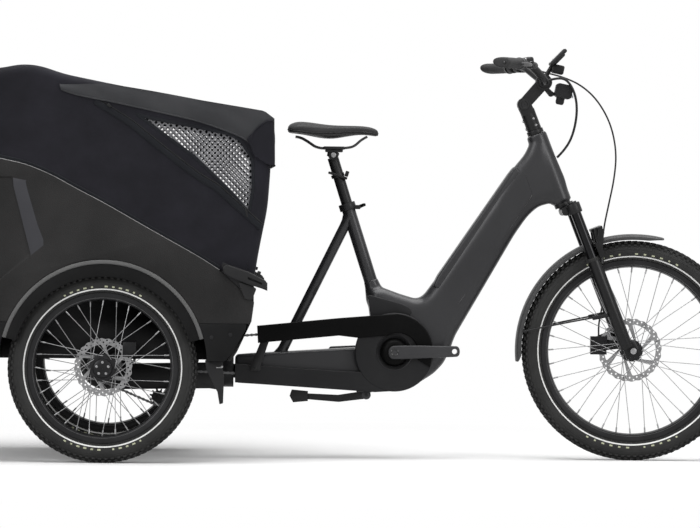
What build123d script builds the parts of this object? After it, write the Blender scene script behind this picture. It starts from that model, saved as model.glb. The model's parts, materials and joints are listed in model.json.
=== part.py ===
from build123d import *
import math
import os

# Tilting cargo tricycle: one steered front wheel, two rear wheels beside a covered cargo box.
# Millimetres. +X is forward, +Y is the rider's left, +Z is up. While the pieces are made,
# X is measured from the rear axle and Z from the ground; save() moves the origin to the
# middle of the footprint.

# ---------------------------------------------------------------- driving dimensions
wheelbase = 1500.0
track = 760.0                    # between the middles of the rear tyres
front_wheel_r, front_bead_r = 313.5, 253.5
rear_wheel_r, rear_bead_r = 263.0, 203.0
tyre_w = 60.0
front_spokes, rear_spokes = 36, 32

box_width = 870.0                # outside of the side panels
box_rear, box_front = -450.0, 417.0
seam_z, tub_bottom_z = 390.0, 286.0
panel_t = 10.0
floor_t = 8.0
floor_z = 395.0                  # underside of the load floor
well_inner_y = 306.0             # inner wall of each wheel well
arch_r = 288.0                   # wheel arch in the side panels
arch_z = 276.0
lip_r = 250.0                    # inner edge of the fender lip

crank_x, crank_z, crank_len = 820.0, 304.0, 170.0
crank_rise = 1.5                 # the right arm points forward and a little up
chain_y, chain_pitch = -52.0, 12.7
ring_teeth, sprocket_teeth, pulley_teeth = 40, 24, 11
tension_x, tension_z = 150.0, 170.0
guide_x, guide_z, guide_r = 235.0, 222.0, 18.0
arm_pivot = (222.0, 186.0)
lean_x0, lean_x1, lean_z = 336.0, 364.0, 245.0
lean_shaft_r, lean_bore_gap = 20.0, 0.05

head_x, head_z, head_angle = 1297.0, 734.0, 21.4      # lower end of the head tube, lean back
head_len = 210.0
stanchion_fwd, leg_half, rake = 22.0, 66.0, 35.0
stanchion_r, leg_r = 15.0, 19.0
fork_travel = 70.0
stanchion_len = 330.0            # from the lower end of the head tube
frame_half = 44.0                # half the width of the down tube and the motor housing
neck_half = 27.0
motor_r = 85.0
cover_r = 112.0
drive_hole_r = 50.0

seat_top = (682.0, 723.0)
seat_low = (762.0, 476.0)
post_r, post_gap, seat_tube_r = 15.8, 0.05, 19.0

bar_x, bar_z, bar_r, bar_clamp_r = 1241.0, 1077.0, 11.1, 15.9
stem_x, stem_z = 1185.0, 1013.0
bar_half = 335.0
button_travel, stem_hole_r = 2.0, 2.6
lamp_x, lamp_z = 1262.0, 1044.0

soft_gap = 0.3                   # running gap between touching curved pieces
front_x = wheelbase + front_wheel_r
mid_x = (front_x + box_rear) / 2


# ---------------------------------------------------------------- helpers
def outline(points):
    """Closed face in the side view from (x, z) corners."""
    return make_face(Polyline(*[(x, 0, z) for x, z in points], close=True))


def slab(shape, y0, y1):
    """A side-view outline, or its corners, made solid from y0 to y1."""
    face = outline(shape) if isinstance(shape, list) else shape
    return extrude(Pos(0, y0, 0) * face, y1 - y0, dir=(0, 1, 0))


def rod(start, end, radius, bore=0.0):
    """Round bar or tube between two points."""
    axis = Vector(*end) - Vector(*start)
    body = Cylinder(radius, axis.length, align=(Align.CENTER, Align.CENTER, Align.MIN))
    if bore:
        body -= Cylinder(bore, axis.length, align=(Align.CENTER, Align.CENTER, Align.MIN))
    return Plane(origin=start, z_dir=axis.normalized()) * body


def disc(x, z, radius, y0, y1, bore=0.0):
    """Round disc on a cross axle, from y0 to y1."""
    return rod((x, y0, z), (x, y1, z), radius, bore)


def turned(profile, x, y, z):
    """Corners (radius, y) turned about a cross axle through (x, y, z)."""
    face = make_face(Polyline(*[(r, v, 0) for r, v in profile], close=True))
    return Pos(x, y, z) * revolve(face, Axis((0, 0, 0), (0, 1, 0)))


def block(x0, x1, y0, y1, z0, z1):
    return Pos((x0 + x1) / 2, (y0 + y1) / 2, (z0 + z1) / 2) * Box(x1 - x0, y1 - y0, z1 - z0)


def mirrored(shape):
    return mirror(shape, about=Plane.XZ)


def cut_apart(body, *zones):
    """The solids of a body that lie in each zone in turn, then those of the rest."""
    parts = []
    for zone in zones:
        parts += (body & zone).solids()
        body = body - zone
    return parts + body.solids()


def both_sides(inner, outer, x0=-600.0, x1=600.0, z0=0.0, z1=1300.0):
    """A block from inner to outer on the left and its twin on the right."""
    return [block(x0, x1, *sorted((side * inner, side * outer)), z0, z1) for side in (-1, 1)]


def tube_path(points, radius, bends):
    """Tube along straight runs joined by tangent arcs."""
    path = FilletPolyline(*points, radius=bends)
    start = Plane(origin=path @ 0, z_dir=path % 0)
    return sweep(start * Circle(radius), path=path)


def cord_bends(points):
    """Arc radius at each corner: as large as the two runs allow."""
    radii = []
    for before, corner, after in zip(points, points[1:], points[2:]):
        run_in = Vector(*corner) - Vector(*before)
        run_out = Vector(*after) - Vector(*corner)
        turn = math.radians(run_in.get_angle(run_out))
        radii.append(0.45 * min(run_in.length, run_out.length) / math.tan(turn / 2))
    return radii


def cord(name, points, diameter):
    radii = cord_bends(points)
    body = tube_path(points, diameter / 2, radii)
    length = body.volume / (math.pi * diameter ** 2 / 4)
    print(name, "length", round(length), "arc radii", [round(r) for r in radii])
    return body


# The head tube's own frame: x forward, y left, z up along the steering axis.
head_tilt = math.radians(head_angle)
steer = Plane(origin=(head_x, 0, head_z), x_dir=(math.cos(head_tilt), 0, math.sin(head_tilt)),
              z_dir=(-math.sin(head_tilt), 0, math.cos(head_tilt)))


def on_steer(a, b, c):
    """World point from the head tube's frame."""
    p = steer.from_local_coords(Vector(a, b, c))
    return (p.X, p.Y, p.Z)


def to_steer(x, z):
    p = steer.to_local_coords(Vector(x, 0, z))
    return p.X, p.Z


nodes = {}


def save(name, *solids):
    nodes[name] = [Pos(-mid_x, 0, 0) * s for s in solids]


# ---------------------------------------------------------------- wheels
def tyre(radius, bead):
    """Open tyre casing on two beads."""
    half, wall = tyre_w / 2, 3.5
    lip, middle = bead + 6.5, radius - 0.5 * tyre_w
    outer = Polyline((lip, 16, 0), (bead + 0.4, 16, 0), (bead + 0.4, 12, 0), (lip, 12, 0))
    outer += ThreePointArc((lip, 12, 0), (middle, half - wall, 0), (radius - 12, half - wall - 7, 0))
    outer += ThreePointArc((radius - 12, half - wall - 7, 0), (radius - wall, 0, 0),
                           (radius - 12, -half + wall + 7, 0))
    outer += ThreePointArc((radius - 12, -half + wall + 7, 0), (middle, -half + wall, 0), (lip, -12, 0))
    outer += Polyline((lip, -12, 0), (bead + 0.4, -12, 0), (bead + 0.4, -16, 0), (lip, -16, 0))
    outer += ThreePointArc((lip, -16, 0), (middle, -half, 0), (radius - 10, -half + 6, 0))
    outer += ThreePointArc((radius - 10, -half + 6, 0), (radius, 0, 0), (radius - 10, half - 6, 0))
    outer += ThreePointArc((radius - 10, half - 6, 0), (middle, half, 0), (lip, 16, 0))
    return revolve(make_face(outer), Axis((0, 0, 0), (0, 1, 0)))


rim_depth = 15.5


def rim(bead):
    """Double-wall rim with a well between the bead seats."""
    base = bead - rim_depth
    section = [(base, -8), (base + 4, -17), (bead + 6, -18.5), (bead + 6, -16.3), (bead, -16.3),
               (bead, -11.5), (bead - 4, -9), (bead - 4, 9), (bead, 11.5), (bead, 16.3),
               (bead + 6, 16.3), (bead + 6, 18.5), (base + 4, 17), (base, 8)]
    chamber = [(base + 2.5, -7), (base + 6, -14.5), (bead - 3, -14), (bead - 6.5, -9),
               (bead - 6.5, 9), (bead - 3, 14), (base + 6, 14.5), (base + 2.5, 7)]
    return turned(section, 0, 0, 0) - turned(chamber, 0, 0, 0)


flange_t, spoke_r, nipple_r, nipple_len = 3.0, 1.0, 2.2, 14.0


def spokes(count, bead, flange_r, flange_y):
    """Crossed spokes, each with its nipple, laced to both flanges."""
    per_side = count // 2
    step = 360.0 / per_side
    made = []
    for side in (-1, 1):
        for i in range(per_side):
            hub_a = math.radians(i * step + (step / 2 if side > 0 else 0))
            lead = 1 if i % 2 == 0 else -1
            rim_a = hub_a + math.radians(lead * 3 * step)
            off = flange_t / 2 + spoke_r + 3.0 if lead > 0 else -(flange_t / 2 + spoke_r + 0.2)
            start = (flange_r * math.cos(hub_a), side * (flange_y + off), flange_r * math.sin(hub_a))
            r_rim = bead - rim_depth - 0.9
            end = (r_rim * math.cos(rim_a), side * 4.0, r_rim * math.sin(rim_a))
            a, b = Vector(*start), Vector(*end)
            joint = b - (b - a).normalized() * nipple_len
            made.append(rod(start, joint, spoke_r) + rod(joint, end, nipple_r))
    return made


def rotor(x, y, z, radius, carrier_r):
    """Brake disc: a ring on six slanted arms around a carrier."""
    body = disc(x, z, radius, y - 0.9, y + 0.9, radius - 15)
    body += disc(x, z, carrier_r + 6, y - 0.9, y + 0.9, carrier_r - 6)
    for k in range(6):
        a = math.radians(60 * k)
        b = a + math.radians(28)
        inner, outer = carrier_r + 3, radius - 12
        corners = [(x + inner * math.cos(a - 0.12), z + inner * math.sin(a - 0.12)),
                   (x + outer * math.cos(b - 0.05), z + outer * math.sin(b - 0.05)),
                   (x + outer * math.cos(b + 0.05), z + outer * math.sin(b + 0.05)),
                   (x + inner * math.cos(a + 0.12), z + inner * math.sin(a + 0.12))]
        body += slab(corners, y - 0.9, y + 0.9)
    return body


front_rotor_r, rear_rotor_r = 90.0, 80.0
rotor_out = 42.0                 # rotor plane from the wheel's middle
front_flange_r, rear_flange_r = 27.0, 34.0
flange_y = 28.0
front_axle_r, stub_axle_r = 7.5, 10.0
rear_y = track / 2


def front_wheel():
    x, z = wheelbase, front_wheel_r
    at = Pos(x, 0, z)
    save("tyre_front", at * tyre(front_wheel_r, front_bead_r))
    save("rim_front", at * rim(front_bead_r))
    save("spokes_front", *[at * s for s in spokes(front_spokes, front_bead_r, front_flange_r, flange_y)])
    bore = front_axle_r + 0.05
    near, far, edge = flange_y - flange_t / 2, flange_y + flange_t / 2, front_flange_r + 4
    shell = [(bore, -48), (14, -48), (16, -34), (19, -far), (edge, -far), (edge, -near), (19, -near),
             (16, -22), (16, 22), (19, near), (edge, near), (edge, far), (19, far), (18, 34),
             (22, 38), (22, rotor_out - 1.0), (14, rotor_out - 1.0), (14, 48), (bore, 48)]
    hub = turned(shell, x, 0, z)
    disc_brake = rotor(x, rotor_out, z, front_rotor_r, 22.0)
    save("hub_front", hub, disc_brake)


def rear_wheel(side, name):
    x, y, z = 0.0, side * rear_y, rear_wheel_r
    at = Pos(x, y, z)
    save("tyre_rear_" + name, at * tyre(rear_wheel_r, rear_bead_r))
    save("rim_rear_" + name, at * rim(rear_bead_r))
    save("spokes_rear_" + name,
         *[at * s for s in spokes(rear_spokes, rear_bead_r, rear_flange_r, flange_y)])
    bore = stub_axle_r + 0.05
    near, far, edge = flange_y - flange_t / 2, flange_y + flange_t / 2, rear_flange_r + 4
    shell = [(bore, 46), (24, 46), (26, 34), (28, far), (edge, far), (edge, near), (28, near), (26, 20),
             (26, -20), (28, -near), (edge, -near), (edge, -far), (28, -far), (26, -34),
             (26, -rotor_out + 1.0), (16, -rotor_out + 1.0), (16, -46), (bore, -46)]
    shell = [(r, side * v) for r, v in shell]
    hub = turned(shell, x, y, z)
    cap = disc(x, z, 25, *sorted((y + side * 46.0, y + side * 52.0)))
    for k in range(5):
        a = math.radians(72 * k + 90)
        bolt = (x + 17 * math.cos(a), y + side * 52.0, z + 17 * math.sin(a))
        cap += rod(bolt, (bolt[0], y + side * 56.0, bolt[2]), 4.0)
    disc_brake = rotor(x, y - side * rotor_out, z, rear_rotor_r, 22.0)
    save("hub_rear_" + name, hub, cap, disc_brake)


# ---------------------------------------------------------------- rear module
housing_r = 30.0
axle_tube_end = rear_y - 58.0
case_r, case_half_r, case_half_l = 74.0, 24.0, 44.0


def rear_subframe():
    """Welded steel: centre beam, lean bearing housing, two long rails and cross members."""
    rail_y, rail_top = 240.0, floor_z - soft_gap
    beam = slab([(36, 190), (lean_x0, 196), (lean_x0, 268), (36, 262)], -30, 34)
    housing = rod((lean_x0, 0, lean_z), (lean_x1, 0, lean_z), 46.0, lean_shaft_r + lean_bore_gap)
    web = slab([(290, 196), (lean_x0, 189), (lean_x0, 291), (290, 268)], -30, 34)
    frame = beam + web + housing
    for x in (-300.0, 300.0):
        frame += block(x - 15, x + 15, -rail_y - 15, rail_y + 15, rail_top - 26, rail_top)
    for side in (-1, 1):
        frame += block(-400, 330, side * rail_y - 15, side * rail_y + 15, rail_top - 26, rail_top)
        frame += block(-14, 14, side * rail_y - 15, side * rail_y + 15,
                       rear_wheel_r + housing_r - 4, rail_top)
    frame += block(285, 315, 5, 34, 262, rail_top)
    frame += slab([(208, 174), (246, 174), (250, 240), (208, 240)], chain_y + 16, -29)
    frame += disc(*arm_pivot, 6.0, chain_y + 6, chain_y + 16)
    frame += disc(guide_x, guide_z, 4.0, chain_y - 5, chain_y + 16)
    frame -= rod((lean_x0 - 40, 0, lean_z), (lean_x1, 0, lean_z), lean_shaft_r + lean_bore_gap)
    frame -= disc(0, rear_wheel_r, housing_r, -400, 400)
    frame -= disc(0, rear_wheel_r, case_r + soft_gap, -case_half_r - soft_gap, case_half_l + soft_gap)
    return frame


def axle_housing():
    """Cross tube with the final drive case, stub axles and brake carriers."""
    z = rear_wheel_r
    tube = disc(0, z, housing_r - soft_gap, -axle_tube_end, axle_tube_end, 14.0)
    case = turned([(14, -case_half_r), (62, -case_half_r), (case_r, -8), (case_r, 20),
                   (60, case_half_l), (14, case_half_l)], 0, 0, z)
    tube = tube + case
    for side in (-1, 1):
        y0, y1 = sorted((side * (axle_tube_end - 30), side * (rear_y + 45.5)))
        stub = disc(0, z, 14.0, *sorted((side * (axle_tube_end - 30), side * axle_tube_end)))
        stub += disc(0, z, stub_axle_r, y0, y1)
        carrier = slab([(10, z + 20), (82, z + 34), (82, z + 58), (0, z + 29)],
                       *sorted((side * (axle_tube_end - 12), side * (rear_y - rotor_out - 17 - soft_gap))))
        tube += stub + carrier
    return tube


def rear_calipers():
    """Brake calipers around the rear discs, ahead of the axle."""
    made = []
    z = rear_wheel_r
    for side in (-1, 1):
        plane = side * (rear_y - rotor_out)
        body = block(54, 92, plane - 17, plane + 15, z + 30, z + 72) if side > 0 else \
            block(54, 92, plane - 15, plane + 17, z + 30, z + 72)
        slot = disc(0, z, rear_rotor_r + 2, plane - 2.0, plane + 2.0)
        made.append(body - slot)
    return made


def well_cut(side):
    """The space that a rear wheel turns in."""
    y0, y1 = sorted((side * well_inner_y, side * (box_width / 2 + 5)))
    return disc(0, arch_z, arch_r, y0, y1) + block(-arch_r, arch_r, y0, y1, 150, arch_z)


def lower_tub():
    """Moulded tub: load floor, skirts and both wheel wells."""
    half = box_width / 2 - panel_t
    low, high = floor_z, floor_z + floor_t
    floor = block(box_rear + 12, box_front - 24, -half, half, low, high)
    tub = floor
    front_skirt = [(arch_r + 2, tub_bottom_z), (338, tub_bottom_z), (359, 310), (395, 375), (397, high),
                   (arch_r - 30, high), (arch_r - 16, 340)]
    rear_skirt = [(-arch_r - 2, tub_bottom_z), (-410, tub_bottom_z), (-430, high),
                  (-arch_r + 30, high), (-arch_r + 16, 340)]
    shell_r = arch_r + 4
    for side in (-1, 1):
        y0, y1 = sorted((side * (half - 6), side * (half + panel_t)))
        low_front = slab(front_skirt, y0, y1) & block(0, 600, y0, y1, 200, seam_z - 0.5)
        low_rear = slab(rear_skirt, y0, y1) & block(-600, 0, y0, y1, 200, seam_z - 0.5)
        upper = block(box_rear + 20, box_front - 24, *sorted((side * (half - 6), side * half)),
                      seam_z - 2, high)
        tub += low_front + low_rear + upper
        wy0, wy1 = sorted((side * (well_inner_y - 4), side * half))
        well = disc(0, arch_z, shell_r, wy0, wy1) & block(-400, 400, wy0, wy1, tub_bottom_z, 700)
        tub += well
    for side in (-1, 1):
        tub -= well_cut(side)
    tub -= disc(0, rear_wheel_r, housing_r + 3, -400, 400)
    under = slab([(box_rear + 12, high), (box_rear + 40, tub_bottom_z), (box_rear + 48, tub_bottom_z),
                  (box_rear + 20, high)], -well_inner_y, well_inner_y)
    walls = both_sides(well_inner_y - 4, well_inner_y)
    arches = both_sides(well_inner_y, half - 6)
    skirts = both_sides(half - 6, half + panel_t)
    return cut_apart(tub + under, *walls, *arches, *skirts)


rail = [(-444, 838), (-395, 852), (-340, 850), (-285, 840), (-214, 825), (-144, 796), (-74, 758),
        (-3, 722), (67, 683), (138, 643), (208, 605), (264, 574), (320, 539), (box_front, 450)]


def side_panel(side):
    """Moulded foam side with the wheel arch cut out and a sunk panel at the rear."""
    half = box_width / 2
    corners = rail + [(410, 396), (404, seam_z), (box_rear + 20, seam_z)]
    y0, y1 = sorted((side * (half - panel_t), side * half))
    panel = slab(corners, y0, y1)
    y0, y1 = sorted((side * (half - 4), side * (half + 1)))
    recess = slab([(-430, 792), (-258, 786), (-202, 567), (-285, 502), (-430, 470)], y0, y1)
    panel -= recess
    return panel - disc(0, arch_z, arch_r, -half - 5, half + 5)


def front_panel():
    """Front wall of the box, tucked back under the rider's side."""
    half = box_width / 2 - panel_t - soft_gap
    wall = [(box_front - 1, 450), (box_front - 1, 520), (box_front - 11, 520), (box_front - 11, 450),
            (401, 402), (397.5, 375), (360, 312), (341, tub_bottom_z), (354, tub_bottom_z), (371, 312),
            (410, 396)]
    body = slab(wall, -half, half)
    body -= block(200, 500, -half - 5, -half + 7, 150, 404)
    body -= block(200, 500, half - 7, half + 5, 150, 404)
    body -= block(200, 430, -125, 110, 150, floor_z - 3)
    body -= block(200, box_front - 20, -half, half, floor_z - 1, floor_z + floor_t + 1)
    return body


def tailgate():
    """Rear wall with two lights."""
    half = box_width / 2 - panel_t - soft_gap
    x0 = box_rear + 2
    door = block(x0, x0 + 10, -half, half, floor_z + floor_t + 0.5, 830)
    lamps = [block(box_rear, x0 - 0.1, *sorted((s * 330, s * 400)), 640, 690) for s in (-1, 1)]
    return door, *lamps


def fenders():
    """Fender lips over the rear wheels and the rubber flaps behind them."""
    made = []
    half = box_width / 2
    for side in (-1, 1):
        y0, y1 = sorted((side * (half - 18), side * (half + 2)))
        lip = disc(0, arch_z, arch_r - 0.3, y0, y1) - disc(0, 266, lip_r, y0 - 1, y1 + 1)
        lip &= block(-400, 400, y0, y1, seam_z - 40, 700)
        made.append(lip)
    for side in (-1, 1):
        y0, y1 = sorted((side * (rear_y - 45), side * (rear_y + 28)))
        flap = slab([(283, 285.6), (333, 285.6), (336, 169), (322, 169)], y0, y1)
        made.append(flap)
    return made


canopy_t = 4.0
canopy_half = box_width / 2 - 8.0
canopy_top = [(-446, 862), (-436, 985), (-400, 1060), (-340, 1086), (-285, 1091), (-232, 1102),
              (-179, 1098), (-116, 1076), (6, 1052), (129, 1029), (264, 1006), (432, 977), (462, 958),
              (459, 820), (452, 712), (440, 651), (429, 594), (box_front + 1, 524)]
window = [(83, 969), (129, 955), (248, 934), (340, 915), (372, 901), (409, 846), (411, 765),
          (400, 697), (353, 750), (287, 814), (242, 855)]


def inset(points, gap):
    """Corners of an outline moved inwards by a gap."""
    face = offset(outline(points), amount=-gap, kind=Kind.INTERSECTION)
    return face


def canopy():
    """Fabric hood, open below, with a mesh window in each side."""
    above_rail = [(x, z + soft_gap) for x, z in rail]
    loop = canopy_top + [(box_front + 1, 521)] + list(reversed(above_rail[:-1]))
    hood = slab(loop, -canopy_half, canopy_half)
    inner = inset(loop, canopy_t)
    hollow = slab(inner, -canopy_half + canopy_t, canopy_half - canopy_t)
    upper = [(-441, 858)] + [(x, z + 12.0) for x, z in rail[1:-1]] + [(413.5, 534)]
    floor_open = upper + [(x, z - 60.0) for x, z in reversed(upper)]
    hollow += slab(floor_open, -canopy_half + canopy_t, canopy_half - canopy_t)
    hood -= hollow
    hood -= slab(window, -canopy_half - 5, canopy_half + 5)
    meshes = []
    pane = inset(window, soft_gap)
    for side in (-1, 1):
        y0, y1 = sorted((side * (canopy_half - 2.5), side * (canopy_half - 1.0)))
        meshes.append(slab(pane, y0, y1))
    sides = both_sides(canopy_half - canopy_t, canopy_half)
    rear_wall = block(-600, -400, -canopy_half, canopy_half, 0, 1300)
    front_wall = block(432, 600, -canopy_half, canopy_half, 0, 1300)
    low_front = block(400, 432, -canopy_half, canopy_half, 0, 800)
    roof_rear = block(-400, -116, -canopy_half, canopy_half, 0, 1300)
    return cut_apart(hood, *sides, rear_wall, front_wall, low_front, roof_rear) + meshes


hoop_r, hoop_bend, hoop_lug = 8.0, 40.0, 70.0
hoop_ends = (((-300, 834), (-330, 1073)), ((-60, 738), (-150, 1073)), ((392, 505), (436, 951)))


def canopy_hoops():
    """Alloy hoops that hold the hood up, each in three lengths, with their sockets."""
    made = []
    y = canopy_half - canopy_t - 9.0
    for foot, top in hoop_ends:
        path = [(foot[0], -y, foot[1]), (top[0], -y, top[1]), (top[0], y, top[1]), (foot[0], y, foot[1])]
        hoop = tube_path(path, hoop_r, hoop_bend)
        made += cut_apart(hoop, *both_sides(y - hoop_bend - 10, y + 20))
    outer = box_width / 2 - panel_t - soft_gap
    for (x, z), _ in hoop_ends:
        made += both_sides(y - 4, outer, x - 14, x + 12, z - hoop_lug, z - soft_gap)
    return made


def bench():
    """Seat cushion and back cushion for two children."""
    wide = well_inner_y - 10.0
    seat = block(-330, -30, -wide, wide, 560, 620)
    back = slab([(-385, 620.5), (-335, 620.5), (-365, 990), (-405, 990)], -wide, wide)
    made = [seat, back]
    for side in (-1, 1):
        y0, y1 = sorted((side * (wide - 22), side * (wide - 10)))
        made.append(block(-330, -50, y0, y1, floor_z + floor_t, 560))
        made.append(block(-385, -340, y0, y1, floor_z + floor_t, 620.2))
    return made


def visor_flap():
    """Rolled rain flap along the front of the hood's roof."""
    top = [(-122, 1035), (-88, 1019), (14, 1001), (129, 977), (264, 948), (388, 904), (475, 824),
           (475, 836), (470, 960), (440, 981), (264, 1010), (129, 1033)]
    made = []
    for side in (-1, 1):
        y0, y1 = sorted((side * (canopy_half + 0.3), side * (canopy_half + 3.0)))
        made.append(slab(top, y0, y1))
    front = slab([(462.5, 824), (475, 824), (475, 836), (470, 958), (463, 957.5)],
                 -canopy_half - 0.3, canopy_half + 0.3)
    return made[0] + front + made[1]


def corner_handles():
    """Grab bars at the front corners of the box."""
    made = []
    for side in (-1, 1):
        y = side * (box_width / 2 - 26)
        bar = slab([(424, 493), (453, 482), (453, 504), (424, 516)], *sorted((y, side * box_width / 2)))
        back = slab([(box_front - 0.5, 496), (430, 492), (430, 512), (box_front - 0.5, 518)],
                    *sorted((y, side * (box_width / 2))))
        strip = slab([(326, 547), (430, 500), (430, 514), (330, 560)],
                     *sorted((side * (box_width / 2 + 0.3), side * (box_width / 2 + 6))))
        wedge = slab([(323, 537), (box_front - 1.5, 519.5), (box_front - 1.5, 453)],
                     *sorted((side * (box_width / 2 - panel_t), side * (box_width / 2))))
        link = block(424, 440, *sorted((y, side * (box_width / 2 + 6))), 494, 512)
        seat = slab([(402, 515), (430, 496), (430, 512), (402, 518)],
                    *sorted((side * (box_width / 2 - panel_t), side * (box_width / 2 + 6))))
        made.append(bar + back + strip + link + wedge + seat)
    return made


# ---------------------------------------------------------------- chain drive
def pitch_r(teeth):
    return chain_pitch / (2 * math.sin(math.pi / teeth))


def toothed(x, z, teeth, bore, half=1.2):
    """Sprocket with a tooth for each roller gap."""
    r = pitch_r(teeth)
    root, tip = r - 4.2, r + 2.6
    points = []
    for k in range(teeth):
        a = 2 * math.pi * k / teeth
        w = 2 * math.pi / teeth
        for frac, rad in ((-0.34, root), (-0.12, tip), (0.12, tip), (0.34, root)):
            points.append((x + rad * math.cos(a + frac * w), z + rad * math.sin(a + frac * w)))
    body = slab(points, chain_y - half, chain_y + half)
    return body - disc(x, z, bore, chain_y - 5, chain_y + 5)


def tangent(c1, r1, s1, c2, r2, s2):
    """Straight run between two directed circles; s is +1 for anticlockwise."""
    dx, dz = c2[0] - c1[0], c2[1] - c1[1]
    dist = math.hypot(dx, dz)
    base = math.atan2(dz, dx)
    turn = math.asin((s1 * r1 - s2 * r2) / dist)
    a = base + turn
    normal = (math.sin(a), -math.cos(a))
    return ((c1[0] + s1 * r1 * normal[0], c1[1] + s1 * r1 * normal[1]),
            (c2[0] + s2 * r2 * normal[0], c2[1] + s2 * r2 * normal[1]))


def belt(grow):
    """Outline of the chain loop, grown outwards by an amount."""
    wheels = [((0.0, rear_wheel_r), pitch_r(sprocket_teeth), 1),
              ((tension_x, tension_z), pitch_r(pulley_teeth), 1),
              ((guide_x, guide_z), guide_r + 4.8, -1),
              ((crank_x, crank_z), pitch_r(ring_teeth), 1)]
    wheels = [(c, r + s * grow, s) for c, r, s in wheels]
    runs = [tangent(*wheels[i], *wheels[(i + 1) % len(wheels)]) for i in range(len(wheels))]
    edges = []
    for i, (centre, radius, sense) in enumerate(wheels):
        arrive, leave = runs[i - 1][1], runs[i][0]
        a0 = math.atan2(arrive[1] - centre[1], arrive[0] - centre[0])
        a1 = math.atan2(leave[1] - centre[1], leave[0] - centre[0])
        span = (a1 - a0) % (2 * math.pi) if sense > 0 else -((a0 - a1) % (2 * math.pi))
        am = a0 + span / 2
        middle = (centre[0] + radius * math.cos(am), 0, centre[1] + radius * math.sin(am))
        edges.append(ThreePointArc((arrive[0], 0, arrive[1]), middle, (leave[0], 0, leave[1])))
        nxt = runs[i]
        edges.append(Line((nxt[0][0], 0, nxt[0][1]), (nxt[1][0], 0, nxt[1][1])))
    return make_face(edges)


def chain():
    """Chain as a channel around the teeth, cut at the lean bearing."""
    outer, inner = belt(4.3), belt(-4.3)
    plates = slab(outer, chain_y - 3.6, chain_y - 1.9) - slab(inner, chain_y - 4, chain_y - 1)
    plates += slab(outer, chain_y + 1.9, chain_y + 3.6) - slab(inner, chain_y + 1, chain_y + 4)
    plates += slab(outer, chain_y - 1.9, chain_y + 1.9) - slab(belt(3.3), chain_y - 3, chain_y + 3)
    split = (lean_x0 + lean_x1) / 2
    rear = plates & block(-200, split - 2, -100, 0, 0, 600)
    front = plates & block(split + 2, 1200, -100, 0, 0, 600)
    return rear.solids(), front.solids()


def tensioner():
    """Sprung arm with the tension pulley, and the guide roller."""
    arm_y0, arm_y1 = chain_y + 8.0, chain_y + 13.0
    pivot = arm_pivot
    arm = disc(*pivot, 11, arm_y0, arm_y1) + disc(tension_x, tension_z, 11, arm_y0, arm_y1)
    arm += slab([(pivot[0], pivot[1] - 9), (tension_x, tension_z - 9),
                 (tension_x, tension_z + 9), (pivot[0], pivot[1] + 9)], arm_y0, arm_y1)
    arm += disc(tension_x, tension_z, 4.0, chain_y - 6, arm_y0)
    arm -= disc(*pivot, 6.05, arm_y0 - 1, arm_y1 + 1)
    pulley = toothed(tension_x, tension_z, pulley_teeth, 4.05)
    roller = disc(guide_x, guide_z, guide_r, chain_y - 3, chain_y + 3, 4.05)
    roller += disc(guide_x, guide_z, guide_r - 6, chain_y + 3, chain_y + 6, 4.05)
    return arm, pulley, roller


# ---------------------------------------------------------------- front frame
def main_outline():
    return [(712, 300), (706, 330), (716, 420), (726, 470), (748, 492), (778, 490), (836, 469),
            (884, 455), (921, 487), (945, 521), (1141, 810), (1168, 848), (1192, 901),
            (1209, 925), (1249, 929), (1283, 852), (1304, 804), (1321, 743), (1292, 730), (1266, 733),
            (1228, 722), (1198, 694), (1163, 644), (994, 350), (981, 311), (963, 273), (935, 243),
            (890, 214), (820, 204), (760, 214), (724, 250)]


cover_depth = 28.0
tube_dir = Vector(1141 - 945, 0, 810 - 521).normalized()
tube_in = Vector(tube_dir.Z, 0, -tube_dir.X)


def along_tube(x, z, along, into):
    p = Vector(x, 0, z) + tube_dir * along + tube_in * into
    return (p.X, p.Z)


def cover_zone(gap):
    """The battery cover's side view, grown by a gap."""
    low, high = (921, 487), (1168, 848)
    return [along_tube(*low, -2 - gap, -30), along_tube(*low, 6 - gap, cover_depth + gap),
            along_tube(*high, -8 + gap, cover_depth + gap), along_tube(*high, 2 + gap, -30)]


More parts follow.
